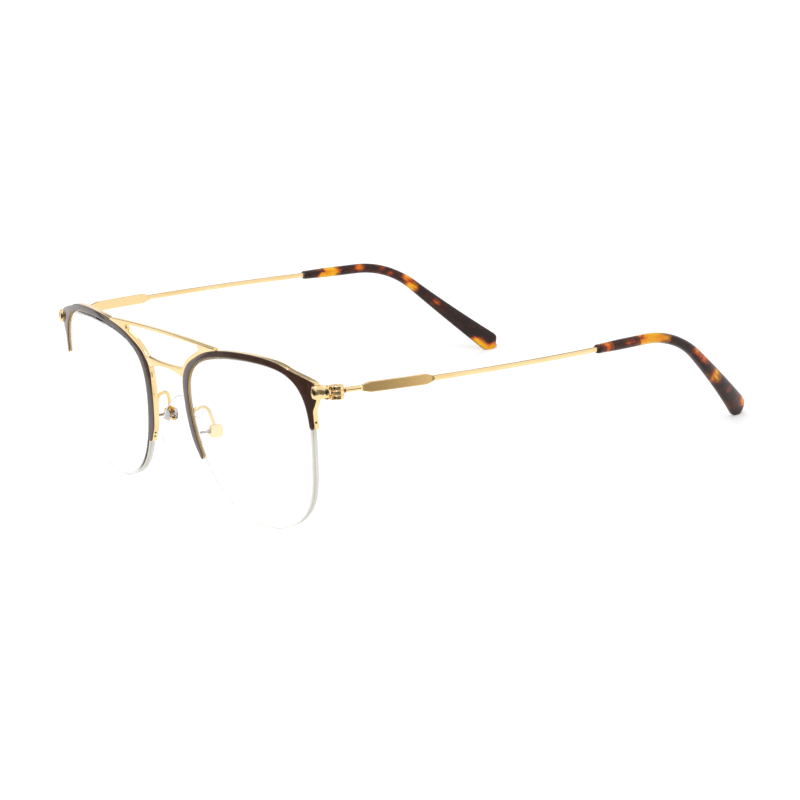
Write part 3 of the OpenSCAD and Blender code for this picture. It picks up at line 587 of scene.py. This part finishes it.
INSERT = clear("clear_insert", (0.96, 0.96, 0.96), 1.08, 0.03, 0.08)

# How amber each tip is, against the distance from its mouth in millimetres, and its spots
TORTOISE = {
    1: tortoise("tortoise_left", [(0, 0.15), (1.2, 0.35), (2.8, 0.68), (4.6, 0.62), (6.4, 0.25), (13.2, 0.38),
                                  (14.2, 0.85), (17, 0.98), (21, 0.92), (22.8, 0.8), (24, 0.25), (33, 0.25),
                                  (55, 0.22), (70, 0.2)],
                [(11, 0.3, 2.2, 1.0, 0.55), (35.4, 0.9, 2.1, 1.5, 0.66), (39.4, 0.9, 2.3, 1.5, 0.66),
                 (46.4, 0.2, 2.3, 2.0, 0.98), (46.4, -1.5, 1.1, 1.6, 0.66), (53.6, 0.6, 1.5, 1.2, 0.5),
                 (62.8, 2.1, 3.2, 2.3, 0.72)]),
    -1: tortoise("tortoise_right", [(0, 0.15), (4.8, 0.3), (6, 0.85), (9, 1.0), (10.6, 0.9), (12, 0.3),
                                    (16, 0.3), (70, 0.2)],
                 [(17.5, 0.4, 1.8, 1.2, 0.6), (24.5, 0.3, 1.6, 1.3, 0.54), (27, -0.4, 1.3, 1.2, 0.58),
                  (33.2, 0.5, 2.1, 1.3, 0.74), (35.4, -0.6, 2.5, 1.5, 0.9), (44.2, 0.1, 1.4, 0.9, 0.64),
                  (61.5, -2.4, 3.4, 1.9, 0.92), (65, -1.6, 2.2, 2.2, 0.85)])}


# The front
def banded(s, inner, outer, section):
    """A band beside the outline. section is (side, inset, depth): side 0 is the inner edge, 1 the outer."""
    w, inset, deep = np.array(section, float).T
    half = (outer - inner)[:, None] / 2
    inset = np.sign(inset) * np.minimum(np.abs(inset), np.maximum(half, 0)) if (w != 0.5).all() else inset
    off = inner[:, None] * (1 - w) + outer[:, None] * w + inset * (1 - 2 * w)
    flat = lens_at(s)[:, None] + out_at(s)[:, None] * off[..., None]
    return placed(on_face(flat, deep), LENS_FRAME)


def along_rim(s0, s1, step=0.35):
    """Places on the outline, close together at both ends, where the legs are rounded."""
    ends = (1 - np.cos(np.linspace(0, math.pi / 2, 9))) * 1.1 / SPAN_LEN
    middle = np.linspace(s0 + ends[-1], s1 - ends[-1], int((s1 - s0) * SPAN_LEN / step))
    return np.concatenate([s0 + ends[:-1], middle, s1 - ends[:-1][::-1]])


def ends_rounded(s, s0, s1, inner, outer, r):
    """Draws a band in to rounded ends."""
    e = np.clip(np.minimum(s - s0, s1 - s) * SPAN_LEN / r, 0, 1)
    draw = np.minimum((outer - inner) / 2, r) * (1 - np.sqrt(1 - (1 - e) ** 2))
    return inner + draw, outer - draw


def wing_edge(s):
    """Distance from the outline to the brow plate's edge, with the wing under the end piece."""
    ends = [lens_at(t) + out_at(t) * brow_at(t) for t in (WING_FROM, WING_TO)]
    top, foot, tip = wing_z + wing_half, wing_z - wing_half, wing_x - 0.3
    chain = np.array([ends[0], [wing_x - 2.3, top], [tip, top - 1], [tip, foot], [wing_x - 1.0, foot - 1.6],
                      [wing_x - 2.0, foot - 3.2], ends[1]])
    for _ in range(3):
        a, b = chain[:-1], chain[1:]
        mids = np.stack([a * 0.82 + b * 0.18, a * 0.18 + b * 0.82], 1).reshape(-1, 2)
        chain = np.vstack([chain[:1], mids[1:-1], chain[-1:]])
    edge_at = brow_at(s)
    for k, (p, n) in enumerate(zip(lens_at(s), out_at(s))):
        if not WING_FROM - 0.1 < s[k] < WING_TO + 0.1:
            continue
        a, d = chain[:-1], np.diff(chain, axis=0)
        cross = n[0] * d[:, 1] - n[1] * d[:, 0]
        t = ((a - p)[:, 0] * d[:, 1] - (a - p)[:, 1] * d[:, 0]) / cross
        u = ((a - p)[:, 0] * n[1] - (a - p)[:, 1] * n[0]) / cross
        hits = t[(u >= -0.001) & (u <= 1.001) & (t > 0) & (t < 12)]
        if len(hits):
            edge_at[k] = max(edge_at[k], hits.max())
    return edge_at


def quarter(r, steps=4):
    """(along, down) of a quarter round, from its flat top to its side."""
    a = np.linspace(0, math.pi / 2, steps)
    return [(r * (1 - math.sin(t)), r * (1 - math.cos(t))) for t in a]


def brow_plate():
    """The brow plate with its wing: lacquer on a slightly crowned face, gold behind."""
    s = along_rim(RIM_START, RIM_END, 0.3)
    inner, outer = ends_rounded(s, RIM_START, RIM_END, np.full(len(s), BROW_IN), wing_edge(s), 0.95)
    front = quarter(0.13)
    face = ([(0, i, d + BROW_CROWN) for i, d in front[::-1]]
            + [(0.25, 0, BROW_CROWN / 4), (0.5, 0, 0.0), (0.75, 0, BROW_CROWN / 4)]
            + [(1, i, d + BROW_CROWN) for i, d in front])
    back = [(1, 0, BROW_T - 0.03), (1, 0.03, BROW_T), (0, 0.03, BROW_T), (0, 0, BROW_T - 0.03)]
    strips = [0] * (len(face) - 1) + [1] * (len(back) + 1)
    return skin(banded(s, inner, outer, face + back), strips, cap=1)


def eyewire():
    """The gold half rim, with the channel for the liner on its inner side."""
    s = along_rim(RIM_START, RIM_END)
    inner, outer = np.full(len(s), EDGE_FIT), brow_at(s) - RIM_LIP
    inner, outer = ends_rounded(s, RIM_START, RIM_END, inner, outer, 0.3)
    back = quarter(0.22)
    lo, hi, deep = GROOVE_LO, GROOVE_HI, CHANNEL_DEEP - EDGE_FIT
    front = [(0, 0.05, RIM_LO), (1, 0.05, RIM_LO), (1, 0, RIM_LO + 0.05)]
    rounded = [(1, i, RIM_HI - d) for i, d in back[::-1]] + [(0, i, RIM_HI - d) for i, d in back]
    channel = [(0, 0, hi + 0.04), (0, 0.04, hi), (0, deep - 0.1, hi), (0, deep, hi - 0.1),
               (0, deep, lo + 0.1), (0, deep - 0.1, lo), (0, 0.04, lo), (0, 0, lo - 0.04)]
    return skin(banded(s, inner, outer, front + rounded + channel + [(0, 0, RIM_LO + 0.05)]))


CORD_PLACES = [end + way * d / SPAN_LEN for end, way in ((RIM_START, 1), (RIM_END, -1))
               for d in (CORD_FIRST, CORD_SECOND)]


def cross_rod(s, start, end, r, dome=0.0):
    """A round rod across the rim, from one distance outside the lens's edge to another."""
    p, n = lens_at(s), out_at(s)
    spot = [p[0] + n[0] * start, float(face_y(p, GROOVE_MID)), p[1] + n[1] * start]
    turn = turned(y=math.degrees(math.atan2(n[0], n[1])))
    rows = [(0, 0), (r, 0), (r, end - start - dome), (r * 0.8, end - start - dome * 0.3), (0, end - start)]
    return moved(moved(lathe(rows, 24), (turn, spot)), LENS_FRAME)


def nylon_cord():
    """The cord in the lens's groove, and its ends in the rim's holes."""
    start, end = RIM_END - CORD_END / SPAN_LEN, SPANS + RIM_START + CORD_END / SPAN_LEN
    s = np.linspace(start, end, 240)
    flat = lens_at(s) - out_at(s) * (GROOVE_DEEP / 2 + 0.01)
    path = placed(on_face(flat, GROOVE_MID), LENS_FRAME)
    cord = swept(path, CORD_R, CORD_R, 2, near=(0, 1, 0), sides=16)
    stubs = [cross_rod(t, -0.1, float(brow_at(t)) - RIM_LIP - SEAT, CORD_HOLE_R - 0.04, 0.12)
             for t in CORD_PLACES]
    return joined(cord, *stubs)


def lens():
    """The grooved lens. Its edge has its own material, and inside the rim another one, pale gold metal: a
    painted reflection of the rim.
    """
    s = np.linspace(0, SPANS, 288, endpoint=False)
    rim, out = lens_at(s), out_at(s)
    lo, hi, back = GROOVE_LO, GROOVE_HI, LENS_SET + LENS_T
    shares = (0.0, 0.15, 0.35, 0.55, 0.75, 0.9)
    side = [(1, EDGE_BREAK, LENS_SET), (1, 0.03, LENS_SET + 0.04), (1, 0, LENS_SET + EDGE_BREAK),
            (1, 0, lo - 0.05), (1, 0.05, lo), (1, GROOVE_DEEP - 0.12, lo), (1, GROOVE_DEEP, lo + 0.12),
            (1, GROOVE_DEEP, hi - 0.12), (1, GROOVE_DEEP - 0.12, hi), (1, 0.05, hi), (1, 0, hi + 0.05),
            (1, 0, back - EDGE_BREAK), (1, 0.03, back - 0.04), (1, EDGE_BREAK, back)]
    rows = [(k, 0, LENS_SET) for k in shares] + side + [(k, 0, back) for k in shares[::-1]]
    rings = [on_face((rim - out * (EDGE_BREAK if k < 1 else inset)) * k, deep) for k, inset, deep in rows]
    points, faces, kinds = skin(np.array(rings))
    in_rim = (s - RIM_START) % SPANS < RIM_END - RIM_START
    first, last = len(shares), len(shares) + len(side) - 1
    for i in range(first, last):
        kinds[i * len(s):(i + 1) * len(s)] = [2 if inside else 1 for inside in in_rim]
    return moved((points, faces, kinds), LENS_FRAME)


def front_loops(node):
    """The outlines of a CAD node's foremost flat face, in millimetres of x and z."""
    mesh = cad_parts[node].data
    mesh.calc_loop_triangles()
    points = np.array([v.co for v in mesh.vertices]) / MM
    level = points[:, 1].min()
    key = [tuple(np.round(p, 3)) for p in points]
    steps = {}
    for tri in mesh.loop_triangles:
        if max(points[v][1] for v in tri.vertices) < level + 0.001:
            v = tri.vertices
            for a, b in ((v[0], v[1]), (v[1], v[2]), (v[2], v[0])):
                if (key[b], key[a]) in steps:
                    del steps[key[b], key[a]]
                else:
                    steps[key[a], key[b]] = True
    following = {a: b for a, b in steps}
    loops = []
    while following:
        start = here = next(iter(following))
        loop = []
        while here in following:
            loop.append((here[0], here[2]))
            here = following.pop(here)
        loops.append(np.array(loop))
    return loops


def bridge():
    """The stamping, from the outlines of the CAD node's front, its corners and edges rounded."""
    loops = [softened(loop, 0.1, 0.32) for loop in front_loops("double_bridge")]
    points, faces, kinds = plate(loops, edge(BRIDGE_T / 2, BRIDGE_ROUND, steps=6))
    middle = front_y - BRIDGE_SET + BRIDGE_T / 2
    return points[:, [0, 2, 1]] + [0, middle, 0], faces, kinds


# The hinges
block_out = KNUCKLE_OUT - BARREL_R
block_front = -HINGE_BACK - BLOCK_PROUD
flange_back = KNUCKLE_OUT + BARREL_R
knuckle_h = (BARREL_H - 2 * KNUCKLE_GAP) / 3
wire_start = BARREL_R + WIRE_SHOULDER


def block_loop():
    """Plan of the end piece's block: a rounded front, a waist and the flange before the knuckles."""
    waist_r, block_in = 1.5, block_out - BLOCK_W
    points = [(block_in, block_front + 0.4), (block_in + 0.5, block_front),
              (block_out - 0.6, block_front), (block_out, block_front + 0.6)]
    for a in np.radians(np.arange(0, 90, 15)):
        points.append((block_out + waist_r * (1 - math.cos(a)), -0.8 - waist_r * (1.9 - math.sin(a))))
    points += [(-0.3, -flange_back - 0.5), (-0.3, -flange_back), (-BARREL_R * 2, -flange_back),
               (block_in, -flange_back - 1.2)]
    return softened(np.array(points), 0.06, 0.16)


def lug():
    """The tongue behind the wing, brazed to the rim."""
    s = np.linspace(LUG_FROM, LUG_TO, 120)
    inner = brow_at(s) - RIM_LIP - 0.06
    outer = np.maximum(wing_edge(s) - RIM_LIP, inner + 0.02)
    back = quarter(0.2)
    section = ([(0, 0, RIM_LO), (1, 0, RIM_LO)] + [(1, i, RIM_HI - d) for i, d in back[::-1]]
               + [(0, 0, RIM_HI)])
    return skin(banded(s, inner, outer, section))


def end_piece():
    """The block, its two outer knuckles with the screw's seat in the top one, and the lug."""
    block = plate([block_loop()], edge(BARREL_H / 2, 0.4, 0.34, 7))
    ring = edge(knuckle_h / 2, 0.16)
    tongue = plate([rounded_box(-1.2, -flange_back - 0.05, 0.9, 0, 0.1)], ring)
    high, low = BARREL_H / 2 - knuckle_h / 2, knuckle_h / 2 - BARREL_H / 2
    top = plate([circle(BARREL_R), circle(HEAD_R + SEAT, clockwise=True)], ring)
    hinge = joined(block, lifted(tongue, high), lifted(tongue, low), lifted(top, high),
                   lifted(plate([circle(BARREL_R)], ring), low))
    return joined(moved(hinge, HINGE_FRAME), lug())


def temple_knuckle():
    """The middle knuckle, its square heel and the tongue that the wire is brazed to."""
    ring = edge(knuckle_h / 2, 0.13)
    return moved(joined(plate([circle(BARREL_R)], ring),
                        plate([rounded_box(0, -flange_back + 0.04, 1.25, 0, 0.12)], ring),
                        plate([rounded_box(-0.5, 0, 0.5, wire_start + 0.05, 0.1)], ring)), HINGE_FRAME)


def hinge_screw():
    top, low = BARREL_H / 2, -BARREL_H / 2
    rows = [(0, low), (SCREW_R - 0.06, low), (SCREW_R, low + 0.06), (SCREW_R, top - HEAD_H),
            (HEAD_R - 0.05, top - HEAD_H), (HEAD_R, top - HEAD_H + 0.05), (HEAD_R, top - 0.1),
            (HEAD_R - 0.04, top - 0.03), (HEAD_R - 0.12, top), (0, top)]
    return moved(lathe(rows), HINGE_FRAME)


def screw_slot():
    slot = plate([rounded_box(-HEAD_R - 1, -0.12, HEAD_R + 1, 0.12, 0.03)], edge(0.6, 0.02))
    return moved(lifted(slot, BARREL_H / 2 - 0.2 + 0.6), HINGE_FRAME)


# The temples
def plaque_share(y):
    """0 on the round wire and 1 on the flat plaque."""
    rise = np.clip((y - PLAQUE_BACK) / SHOULDER_FRONT, 0, 1)
    fade = np.clip((PLAQUE_BACK + PLAQUE_LEN - y) / SHOULDER_BACK, 0, 1)
    return np.minimum(rise, fade)


def temple():
    """The wire, its flat plaque with a satin outer face and a paler inner one, and the core in the tip."""
    y = np.concatenate([np.linspace(wire_start, PLAQUE_BACK - 0.2, 12),
                        np.linspace(PLAQUE_BACK, PLAQUE_BACK + PLAQUE_LEN, 150),
                        np.linspace(PLAQUE_BACK + PLAQUE_LEN + 0.2, TIP_BACK, 120)])
    share = plaque_share(y)
    path = np.stack([bow_x(y), y, np.full(len(y), WIRE_UP)], -1)
    high = WIRE_R * 0.95 + (PLAQUE_H / 2 - WIRE_R * 0.95) * share
    high = np.where(share == 0, WIRE_R, high)
    flat = np.clip(share * 4, 0, 1)
    thick = WIRE_R + (PLAQUE_T / 2 - WIRE_R) * ease(flat)
    sides = 48
    points, faces, kinds = swept(path, thick, high, 2 + 10 * ease(flat), sides=sides)
    for i in range(len(y) - 1):
        if share[i] > 0.12:
            for j in range(sides):
                a = (j + 1) / sides * 2 * math.pi
                face_up = abs(math.sin(a)) ** (1 / 6)
                if face_up < 0.93:
                    kinds[i * sides + j] = 1 if math.cos(a) > 0 else 2
    s = np.linspace(0, CORE_LEN, 60)
    core = swept(tip_at(s), WIRE_R - 0.05, WIRE_R - 0.05, 2, sides=16)
    return moved(joined((points, faces, kinds), core), HINGE_FRAME)


def round_off(s, r):
    """What a rounded end of a radius leaves of the tip, as a share."""
    e = np.clip((tip_len - s) / r, 0, 1)
    return np.sqrt(np.maximum(0, 1 - (1 - e) ** 2))


def tip_sizes(s):
    """Half the tip's thickness and height along it, and how far its middle rises at the rounded end."""
    u = s / tip_len
    high = (TIP_MOUTH_H + (TIP_NECK_H - TIP_MOUTH_H) * ease(u / 0.12)) / 2
    high = high + (TIP_END_H - TIP_NECK_H) / 2 * (np.maximum(0, u - 0.45) / 0.55) ** 1.35
    above = high - TIP_CORNER_R * (1 - round_off(s, TIP_CORNER_R))
    below = high - tip_end_r * (1 - round_off(s, tip_end_r))
    mouth = np.where(s < 0.4, 0.86 + 0.35 * s, 1)
    return TIP_T / 2 * round_off(s, TIP_CORNER_R) * mouth, (above + below) / 2 * mouth, (above - below) / 2


def temple_tip():
    """The tip, and its grain: how far along, below the middle and across each point is."""
    round_end = tip_len - tip_end_r * (1 - np.arange(1, 33) / 33) ** 2
    s = np.concatenate([[0, 0.1, 0.2, 0.3, 0.4], np.linspace(0.7, tip_len - tip_end_r, 150), round_end,
                        [tip_len - 0.004]])
    thick, high, rise = tip_sizes(s)
    sides = 56
    path = tip_at(s) + np.outer(rise, [0, math.sin(bend), math.cos(bend)])
    part = swept(path, thick, high, 2.15, sides=sides)
    a = (np.arange(sides) + 0.5) / sides * 2 * math.pi
    below, across = np.outer(high, np.sin(a)).ravel(), np.outer(thick, np.cos(a)).ravel()
    return moved(part, HINGE_FRAME), np.stack([np.repeat(s, sides), below, across], 1)


# The nose pads
leg_y = back_at(np.array([-LENS_W / 2 - 0.5, 2]), RIM_HI) + ARM_WIRE_R + LEG_GAP


def pad_arm():
    """The wire from the rim's back, up and over in a loop and down into the box, with its solder."""
    rise = [(LEG_IN, leg_y, 1.2), (LOOP_IN, leg_y, 4.2), (LOOP_IN, leg_y + 0.35, 5.4),
            (LOOP_IN, leg_y + 1.05, 6.25)]
    top = [(LOOP_IN - 0.2, (leg_y + PAD_BACK) / 2 + 0.1, 6.58)]
    fall_back = [(LEG_IN, PAD_BACK - 1.1, 6.25), (LEG_IN - 0.25, PAD_BACK - 0.55, 5.45),
                 (LEG_IN - 0.5, PAD_BACK - 0.3, 4.4), (LEG_IN - 0.85, PAD_BACK - 0.2, 3.2),
                 (LEG_IN - 1.2, PAD_BACK - 0.1, 2.1), (-0.1, PAD_BACK, 1.3)]
    route = rise + top + fall_back
    path = through([(pad_x - x, front_y + y, PAD_UP + z) for x, y, z in route], 12)
    for _ in range(40):
        path[1:-1] = (path[:-2] + 2 * path[1:-1] + path[2:]) / 4
    end = np.clip(np.arange(len(path)) / 5, 0, 1)
    size = ARM_WIRE_R * np.sqrt(1 - (1 - end) ** 2 * 0.8)
    lean_in = (LOOP_IN - LEG_IN) / 3
    solder = np.array([(pad_x - LEG_IN - lean_in * (z - 1.2), front_y + leg_y - 0.22, PAD_UP + z)
                       for z in np.linspace(1.5, 3.6, 20)])
    bead = np.sin(np.linspace(0.12, math.pi - 0.12, 20)) ** 0.5
    return joined(swept(path, size, size, 2, sides=24), swept(solder, 0.5 * bead, 0.26 * bead, 2, sides=20))


def pad_box():
    """The box before its slot is cut. The side that faces the pad is pale steel."""
    outline = rounded_box(-BOX_W / 2, -BOX_H / 2, BOX_W / 2, BOX_H / 2, BOX_ROUND, 12)
    p, faces, _ = plate([outline], edge(BOX_T / 2, 0.22, steps=6))
    points = np.stack([p[:, 2] + box_open + BOX_T / 2, p[:, 0], p[:, 1]], 1)
    level = box_open + BOX_T * 0.4
    kinds = [1 if max(points[v][0] for v in face) < level else 0 for face in faces]
    return moved((points, faces, kinds), PAD_FRAME)


def box_slot():
    half = LUG_T / 2 + PAD_FIT
    slot = plate([rounded_box(-BOX_T, -half, LUG_R + PAD_FIT, half, 0.12)], edge(BOX_H, 0.05))
    return moved(slot, PAD_FRAME)


def pad_screw():
    """The pad's screw, with its thread cut on the tail that stands out before the box."""
    r, far = PAD_SCREW_R, BOX_W / 2
    low, high = -far, far + SCREW_TAIL
    rows = [(0, low), (r * 0.8, low), (r, low + 0.08), (r, far + 0.02), (r + 0.12, far + 0.03),
            (r + 0.18, far + 0.1), (r + 0.18, far + 0.3), (r - 0.02, far + 0.5)]
    turns, pitch = 7, 0.22
    for k in range(turns):
        z = far + 0.56 + k * pitch
        rows += [(r - 0.03, z), (r - 0.1, z + pitch / 2)]
    rows += [(r * 0.8, high - 0.08), (r * 0.5, high), (0, high)]
    return moved(moved(lathe(rows, 32), (turned(x=90), [0, 0, 0])), PAD_FRAME)


def nose_pad():
    """A soft oval pillow, narrower at its top, with a fine parting line round its edge."""
    sides, layers = 72, 36
    b = np.linspace(0, math.pi, layers + 1)[:, None]
    a = np.arange(sides)[None] / sides * 2 * math.pi
    r = np.sin(b) ** 0.55
    line = 1 - 0.012 * np.exp(-((b - math.pi / 2) / 0.05) ** 2)
    across = PAD_W / 2 * np.cos(a) * (1 - 0.05 * np.sin(a)) * r * line
    up = PAD_LEN / 2 * np.sin(a) * r * line
    thick = np.broadcast_to(-np.cos(b) * PAD_T / 2, across.shape)
    return moved(moved(skin(np.stack([thick, across, up], -1)), PAD_TURN), PAD_FRAME)


def keep_cad(node, finish, bevel):
    """A CAD node that stays gets its finish, and its sharp edges are broken."""
    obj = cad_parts[node]
    obj.data.materials.clear()
    obj.data.materials.append(finish)
    weld = obj.modifiers.new("weld", "WELD")
    weld.merge_threshold = WELD
    if bevel:
        broken = obj.modifiers.new("bevel", "BEVEL")
        broken.width = bevel * MM
        broken.segments = 2
        broken.limit_method = "ANGLE"
        broken.angle_limit = math.radians(40)


# Dressing the frame
build("bridge_stamping", bridge(), 1, "front", [POLISHED], ["double_bridge"], even=True)
for side, tail in ((1, "left"), (-1, "right")):
    arm, unit = f"temple_arm_{tail}", f"pad_unit_{tail}"
    build(f"brow_front_{tail}", brow_plate(), side, "front", [LACQUER, POLISHED], [f"brow_plate_{tail}"],
          sharp=50)
    rim = build(f"gold_rim_{tail}", eyewire(), side, "front", [POLISHED], [f"eyewire_{tail}"])
    for place in CORD_PLACES:
        cut(rim, cross_rod(place, -0.5, 5, CORD_HOLE_R), side)
    glass = build(f"clear_lens_{tail}", lens(), side, "front", [LENS, GROUND_EDGE, PAINTED_RIM_REFLECTION],
                  [f"lens_{tail}"], sharp=60)
    glass.visible_shadow = False
    build(f"rim_cord_{tail}", nylon_cord(), side, "front", [NYLON], [f"nylon_cord_{tail}"])
    build(f"hinge_block_{tail}", end_piece(), side, "front", [HINGE_GOLD], [f"end_piece_{tail}"],
          even=True)
    build(f"hinge_middle_{tail}", temple_knuckle(), side, arm, [HINGE_GOLD], [f"temple_knuckle_{tail}"],
          even=True)
    screw = build(f"slotted_screw_{tail}", hinge_screw(), side, "front", [POLISHED], [f"hinge_screw_{tail}"])
    cut(screw, screw_slot(), side)
    build(f"temple_wire_{tail}", temple(), side, arm, [POLISHED, SATIN, INNER_GOLD], [f"temple_{tail}"],
          sharp=50)
    acetate, grain = temple_tip()
    build(f"acetate_tip_{tail}", acetate, side, arm, [TORTOISE[side]], [f"temple_tip_{tail}"],
          grain=grain)
    build(f"pad_wire_{tail}", pad_arm(), side, "front", [POLISHED], [f"pad_arm_{tail}"])
    fork = build(f"pad_fork_{tail}", pad_box(), side, "front", [POLISHED, PAD_PLATE], [f"pad_box_{tail}"])
    cut(fork, box_slot(), side)
    build(f"threaded_screw_{tail}", pad_screw(), side, "front", [DARK_STEEL], [f"pad_screw_{tail}"])
    pad = build(f"silicone_pad_{tail}", nose_pad(), side, unit, [SILICONE], [f"nose_pad_{tail}"])
    pad.visible_shadow = False
    keep_cad(f"pad_core_{tail}", INSERT, 0.05)
    keep_cad(f"rim_liner_{tail}", NYLON, 0)


# The studio
FLOOR_HALF, FLOOR_SHADE, FLOOR_GLOW = 12.0, 0.8, 0.36
LIGHT_LEVEL = 0.62


def staged(name, points, faces, material):
    mesh = bpy.data.meshes.new(name)
    mesh.from_pydata(points, [], faces)
    mesh.materials.append(material)
    obj = linked(name, mesh)
    return obj


def seen_white(tree):
    """1 for camera, glossy and transmission rays, which should see the pale background itself."""
    rays = tree.nodes.new("ShaderNodeLightPath")
    total = rays.outputs["Is Camera Ray"]
    for name in ("Is Glossy Ray", "Is Transmission Ray"):
        node = tree.nodes.new("ShaderNodeMath")
        node.operation = "MAXIMUM"
        tree.links.new(total, node.inputs[0])
        tree.links.new(rays.outputs[name], node.inputs[1])
        total = node.outputs["Value"]
    return total


def floor_material():
    """A pale floor that takes shadows, and glows a little for the rays that should see white."""
    material = bpy.data.materials.new("pale_floor")
    material.use_nodes = True
    tree = material.node_tree
    tree.nodes.clear()
    paper = tree.nodes.new("ShaderNodeBsdfDiffuse")
    paper.inputs["Color"].default_value = (FLOOR_SHADE, FLOOR_SHADE, FLOOR_SHADE, 1)
    glow = tree.nodes.new("ShaderNodeEmission")
    glow.inputs["Color"].default_value = (1, 1, 1, 1)
    strength = tree.nodes.new("ShaderNodeMath")
    strength.operation = "MULTIPLY"
    strength.inputs[1].default_value = FLOOR_GLOW
    tree.links.new(seen_white(tree), strength.inputs[0])
    tree.links.new(strength.outputs["Value"], glow.inputs["Strength"])
    both = tree.nodes.new("ShaderNodeAddShader")
    tree.links.new(paper.outputs["BSDF"], both.inputs[0])
    tree.links.new(glow.outputs["Emission"], both.inputs[1])
    out = tree.nodes.new("ShaderNodeOutputMaterial")
    tree.links.new(both.outputs["Shader"], out.inputs["Surface"])
    return material


def white_world(lighting):
    """White for the rays that see it, and a plain level of light for the rest."""
    world = bpy.data.worlds.new("studio")
    bpy.context.scene.world = world
    world.use_nodes = True
    tree = world.node_tree
    sky = tree.nodes["Background"]
    sky.inputs["Color"].default_value = (1, 1, 1, 1)
    level = tree.nodes.new("ShaderNodeMapRange")
    level.inputs["To Min"].default_value = lighting
    level.inputs["To Max"].default_value = 1.0
    tree.links.new(seen_white(tree), level.inputs["Value"])
    tree.links.new(level.outputs["Result"], sky.inputs["Strength"])


def dark_card(name, points, shade, faces=((0, 1, 2, 3),)):
    """A dark card beside the set, seen only by glossy rays: it paints a dark reflection on polished surfaces,
    and neither lights nor shades anything.
    """
    dull = Finish(name, Base_Color=(shade, shade, shade, 1), Roughness=1.0)
    card = staged(name, points, faces, dull.material)
    for kind in ("camera", "diffuse", "shadow", "transmission", "volume_scatter"):
        setattr(card, f"visible_{kind}", False)


def standing(x0, y0, x1, y1, low, high):
    """The corners of an upright rectangle."""
    return [(x0, y0, low), (x1, y1, low), (x1, y1, high), (x0, y0, high)]


def soft_lamp(name, place, size, power):
    """A round lamp that shines on the middle of the set."""
    data = bpy.data.lights.new(name, "AREA")
    data.shape = "DISK"
    data.size, data.energy = size, power
    lamp = linked(name, data)
    lamp.location = place
    lamp.rotation_mode = "QUATERNION"
    lamp.rotation_quaternion = (-Vector(place)).to_track_quat("-Z", "Y")


floor_corners = [(x * FLOOR_HALF, y * FLOOR_HALF, 0) for x, y in ((-1, -1), (1, -1), (1, 1), (-1, 1))]
staged("floor", floor_corners, [(0, 1, 2, 3)], floor_material())
white_world(LIGHT_LEVEL)
soft_lamp("key", (0.5, -0.5, 1.1), size=0.6, power=5.0)
soft_lamp("fill", (-0.8, 0.4, 0.9), size=0.7, power=3.0)

# A dark strip high behind the set, seen only by glossy rays: painted dark reflection on round edges that look
# up
HIGH_CARD_R, HIGH_CARD_LO, HIGH_CARD_HI = 0.8, 0.34, 0.95
high_card_at = np.radians(np.linspace(100, 200, 18))
high_card_points = [(HIGH_CARD_R * math.cos(a), HIGH_CARD_R * math.sin(a), z) for a in high_card_at for z in (HIGH_CARD_LO, HIGH_CARD_HI)]
high_card_faces = [(2 * k, 2 * k + 1, 2 * k + 3, 2 * k + 2) for k in range(len(high_card_at) - 1)]
dark_card("high_reflection_card", high_card_points, 0.4, high_card_faces)

# A low card on the right, seen only by glossy rays: painted dark reflection on the hinge's side and the
# plaque
SIDE_X, SIDE_START, SIDE_END, SIDE_LO, SIDE_HI = 0.14, -0.2, -0.016, 0.002, 0.046
dark_card("side_card", standing(SIDE_X, SIDE_START, SIDE_X, SIDE_END, SIDE_LO, SIDE_HI), 0.2)

# Cards before the front, seen only by glossy rays: painted dark reflections on the lacquer. Name, left and
# right end, and how pale each is
FRONT_Y, FRONT_LO, FRONT_HI = -0.15, 0.001, 0.06
for name, left, right, shade in (("front_card", -0.075, 0.13, 0.03), ("grey_card", -0.13, -0.075, 0.3),
                                 ("far_card", -0.27, -0.232, 0.05)):
    dark_card(name, standing(left, FRONT_Y, right, FRONT_Y, FRONT_LO, FRONT_HI), shade)

# The camera stands where the photograph was taken from, a long lens about 0.9 m away
AZIMUTH, ELEVATION, ROLL = 59.159, 14.968, -6.844
DISTANCE = 0.89881
TARGET = Vector((0.020741, -0.013128, 0.016995))
FOCAL_PX, IMAGE_PX, SENSOR_MM = 3446.6, 800, 36.0
az, el, roll = (math.radians(v) for v in (AZIMUTH, ELEVATION, ROLL))
back = Vector((math.sin(az) * math.cos(el), -math.cos(az) * math.cos(el), math.sin(el)))
level = Vector((math.cos(az), math.sin(az), 0))
upright = back.cross(level)
right = level * math.cos(roll) + upright * math.sin(roll)
up = upright * math.cos(roll) - level * math.sin(roll)
camera_data = bpy.data.cameras.new("camera")
camera_data.sensor_width = SENSOR_MM
camera_data.lens = SENSOR_MM * FOCAL_PX / IMAGE_PX
camera = linked("camera", camera_data)
turn = Matrix((right, up, back)).transposed().to_4x4()
camera.matrix_world = Matrix.Translation(TARGET + back * DISTANCE) @ turn
bpy.context.scene.camera = camera
bpy.context.scene.view_settings.view_transform = "Standard"
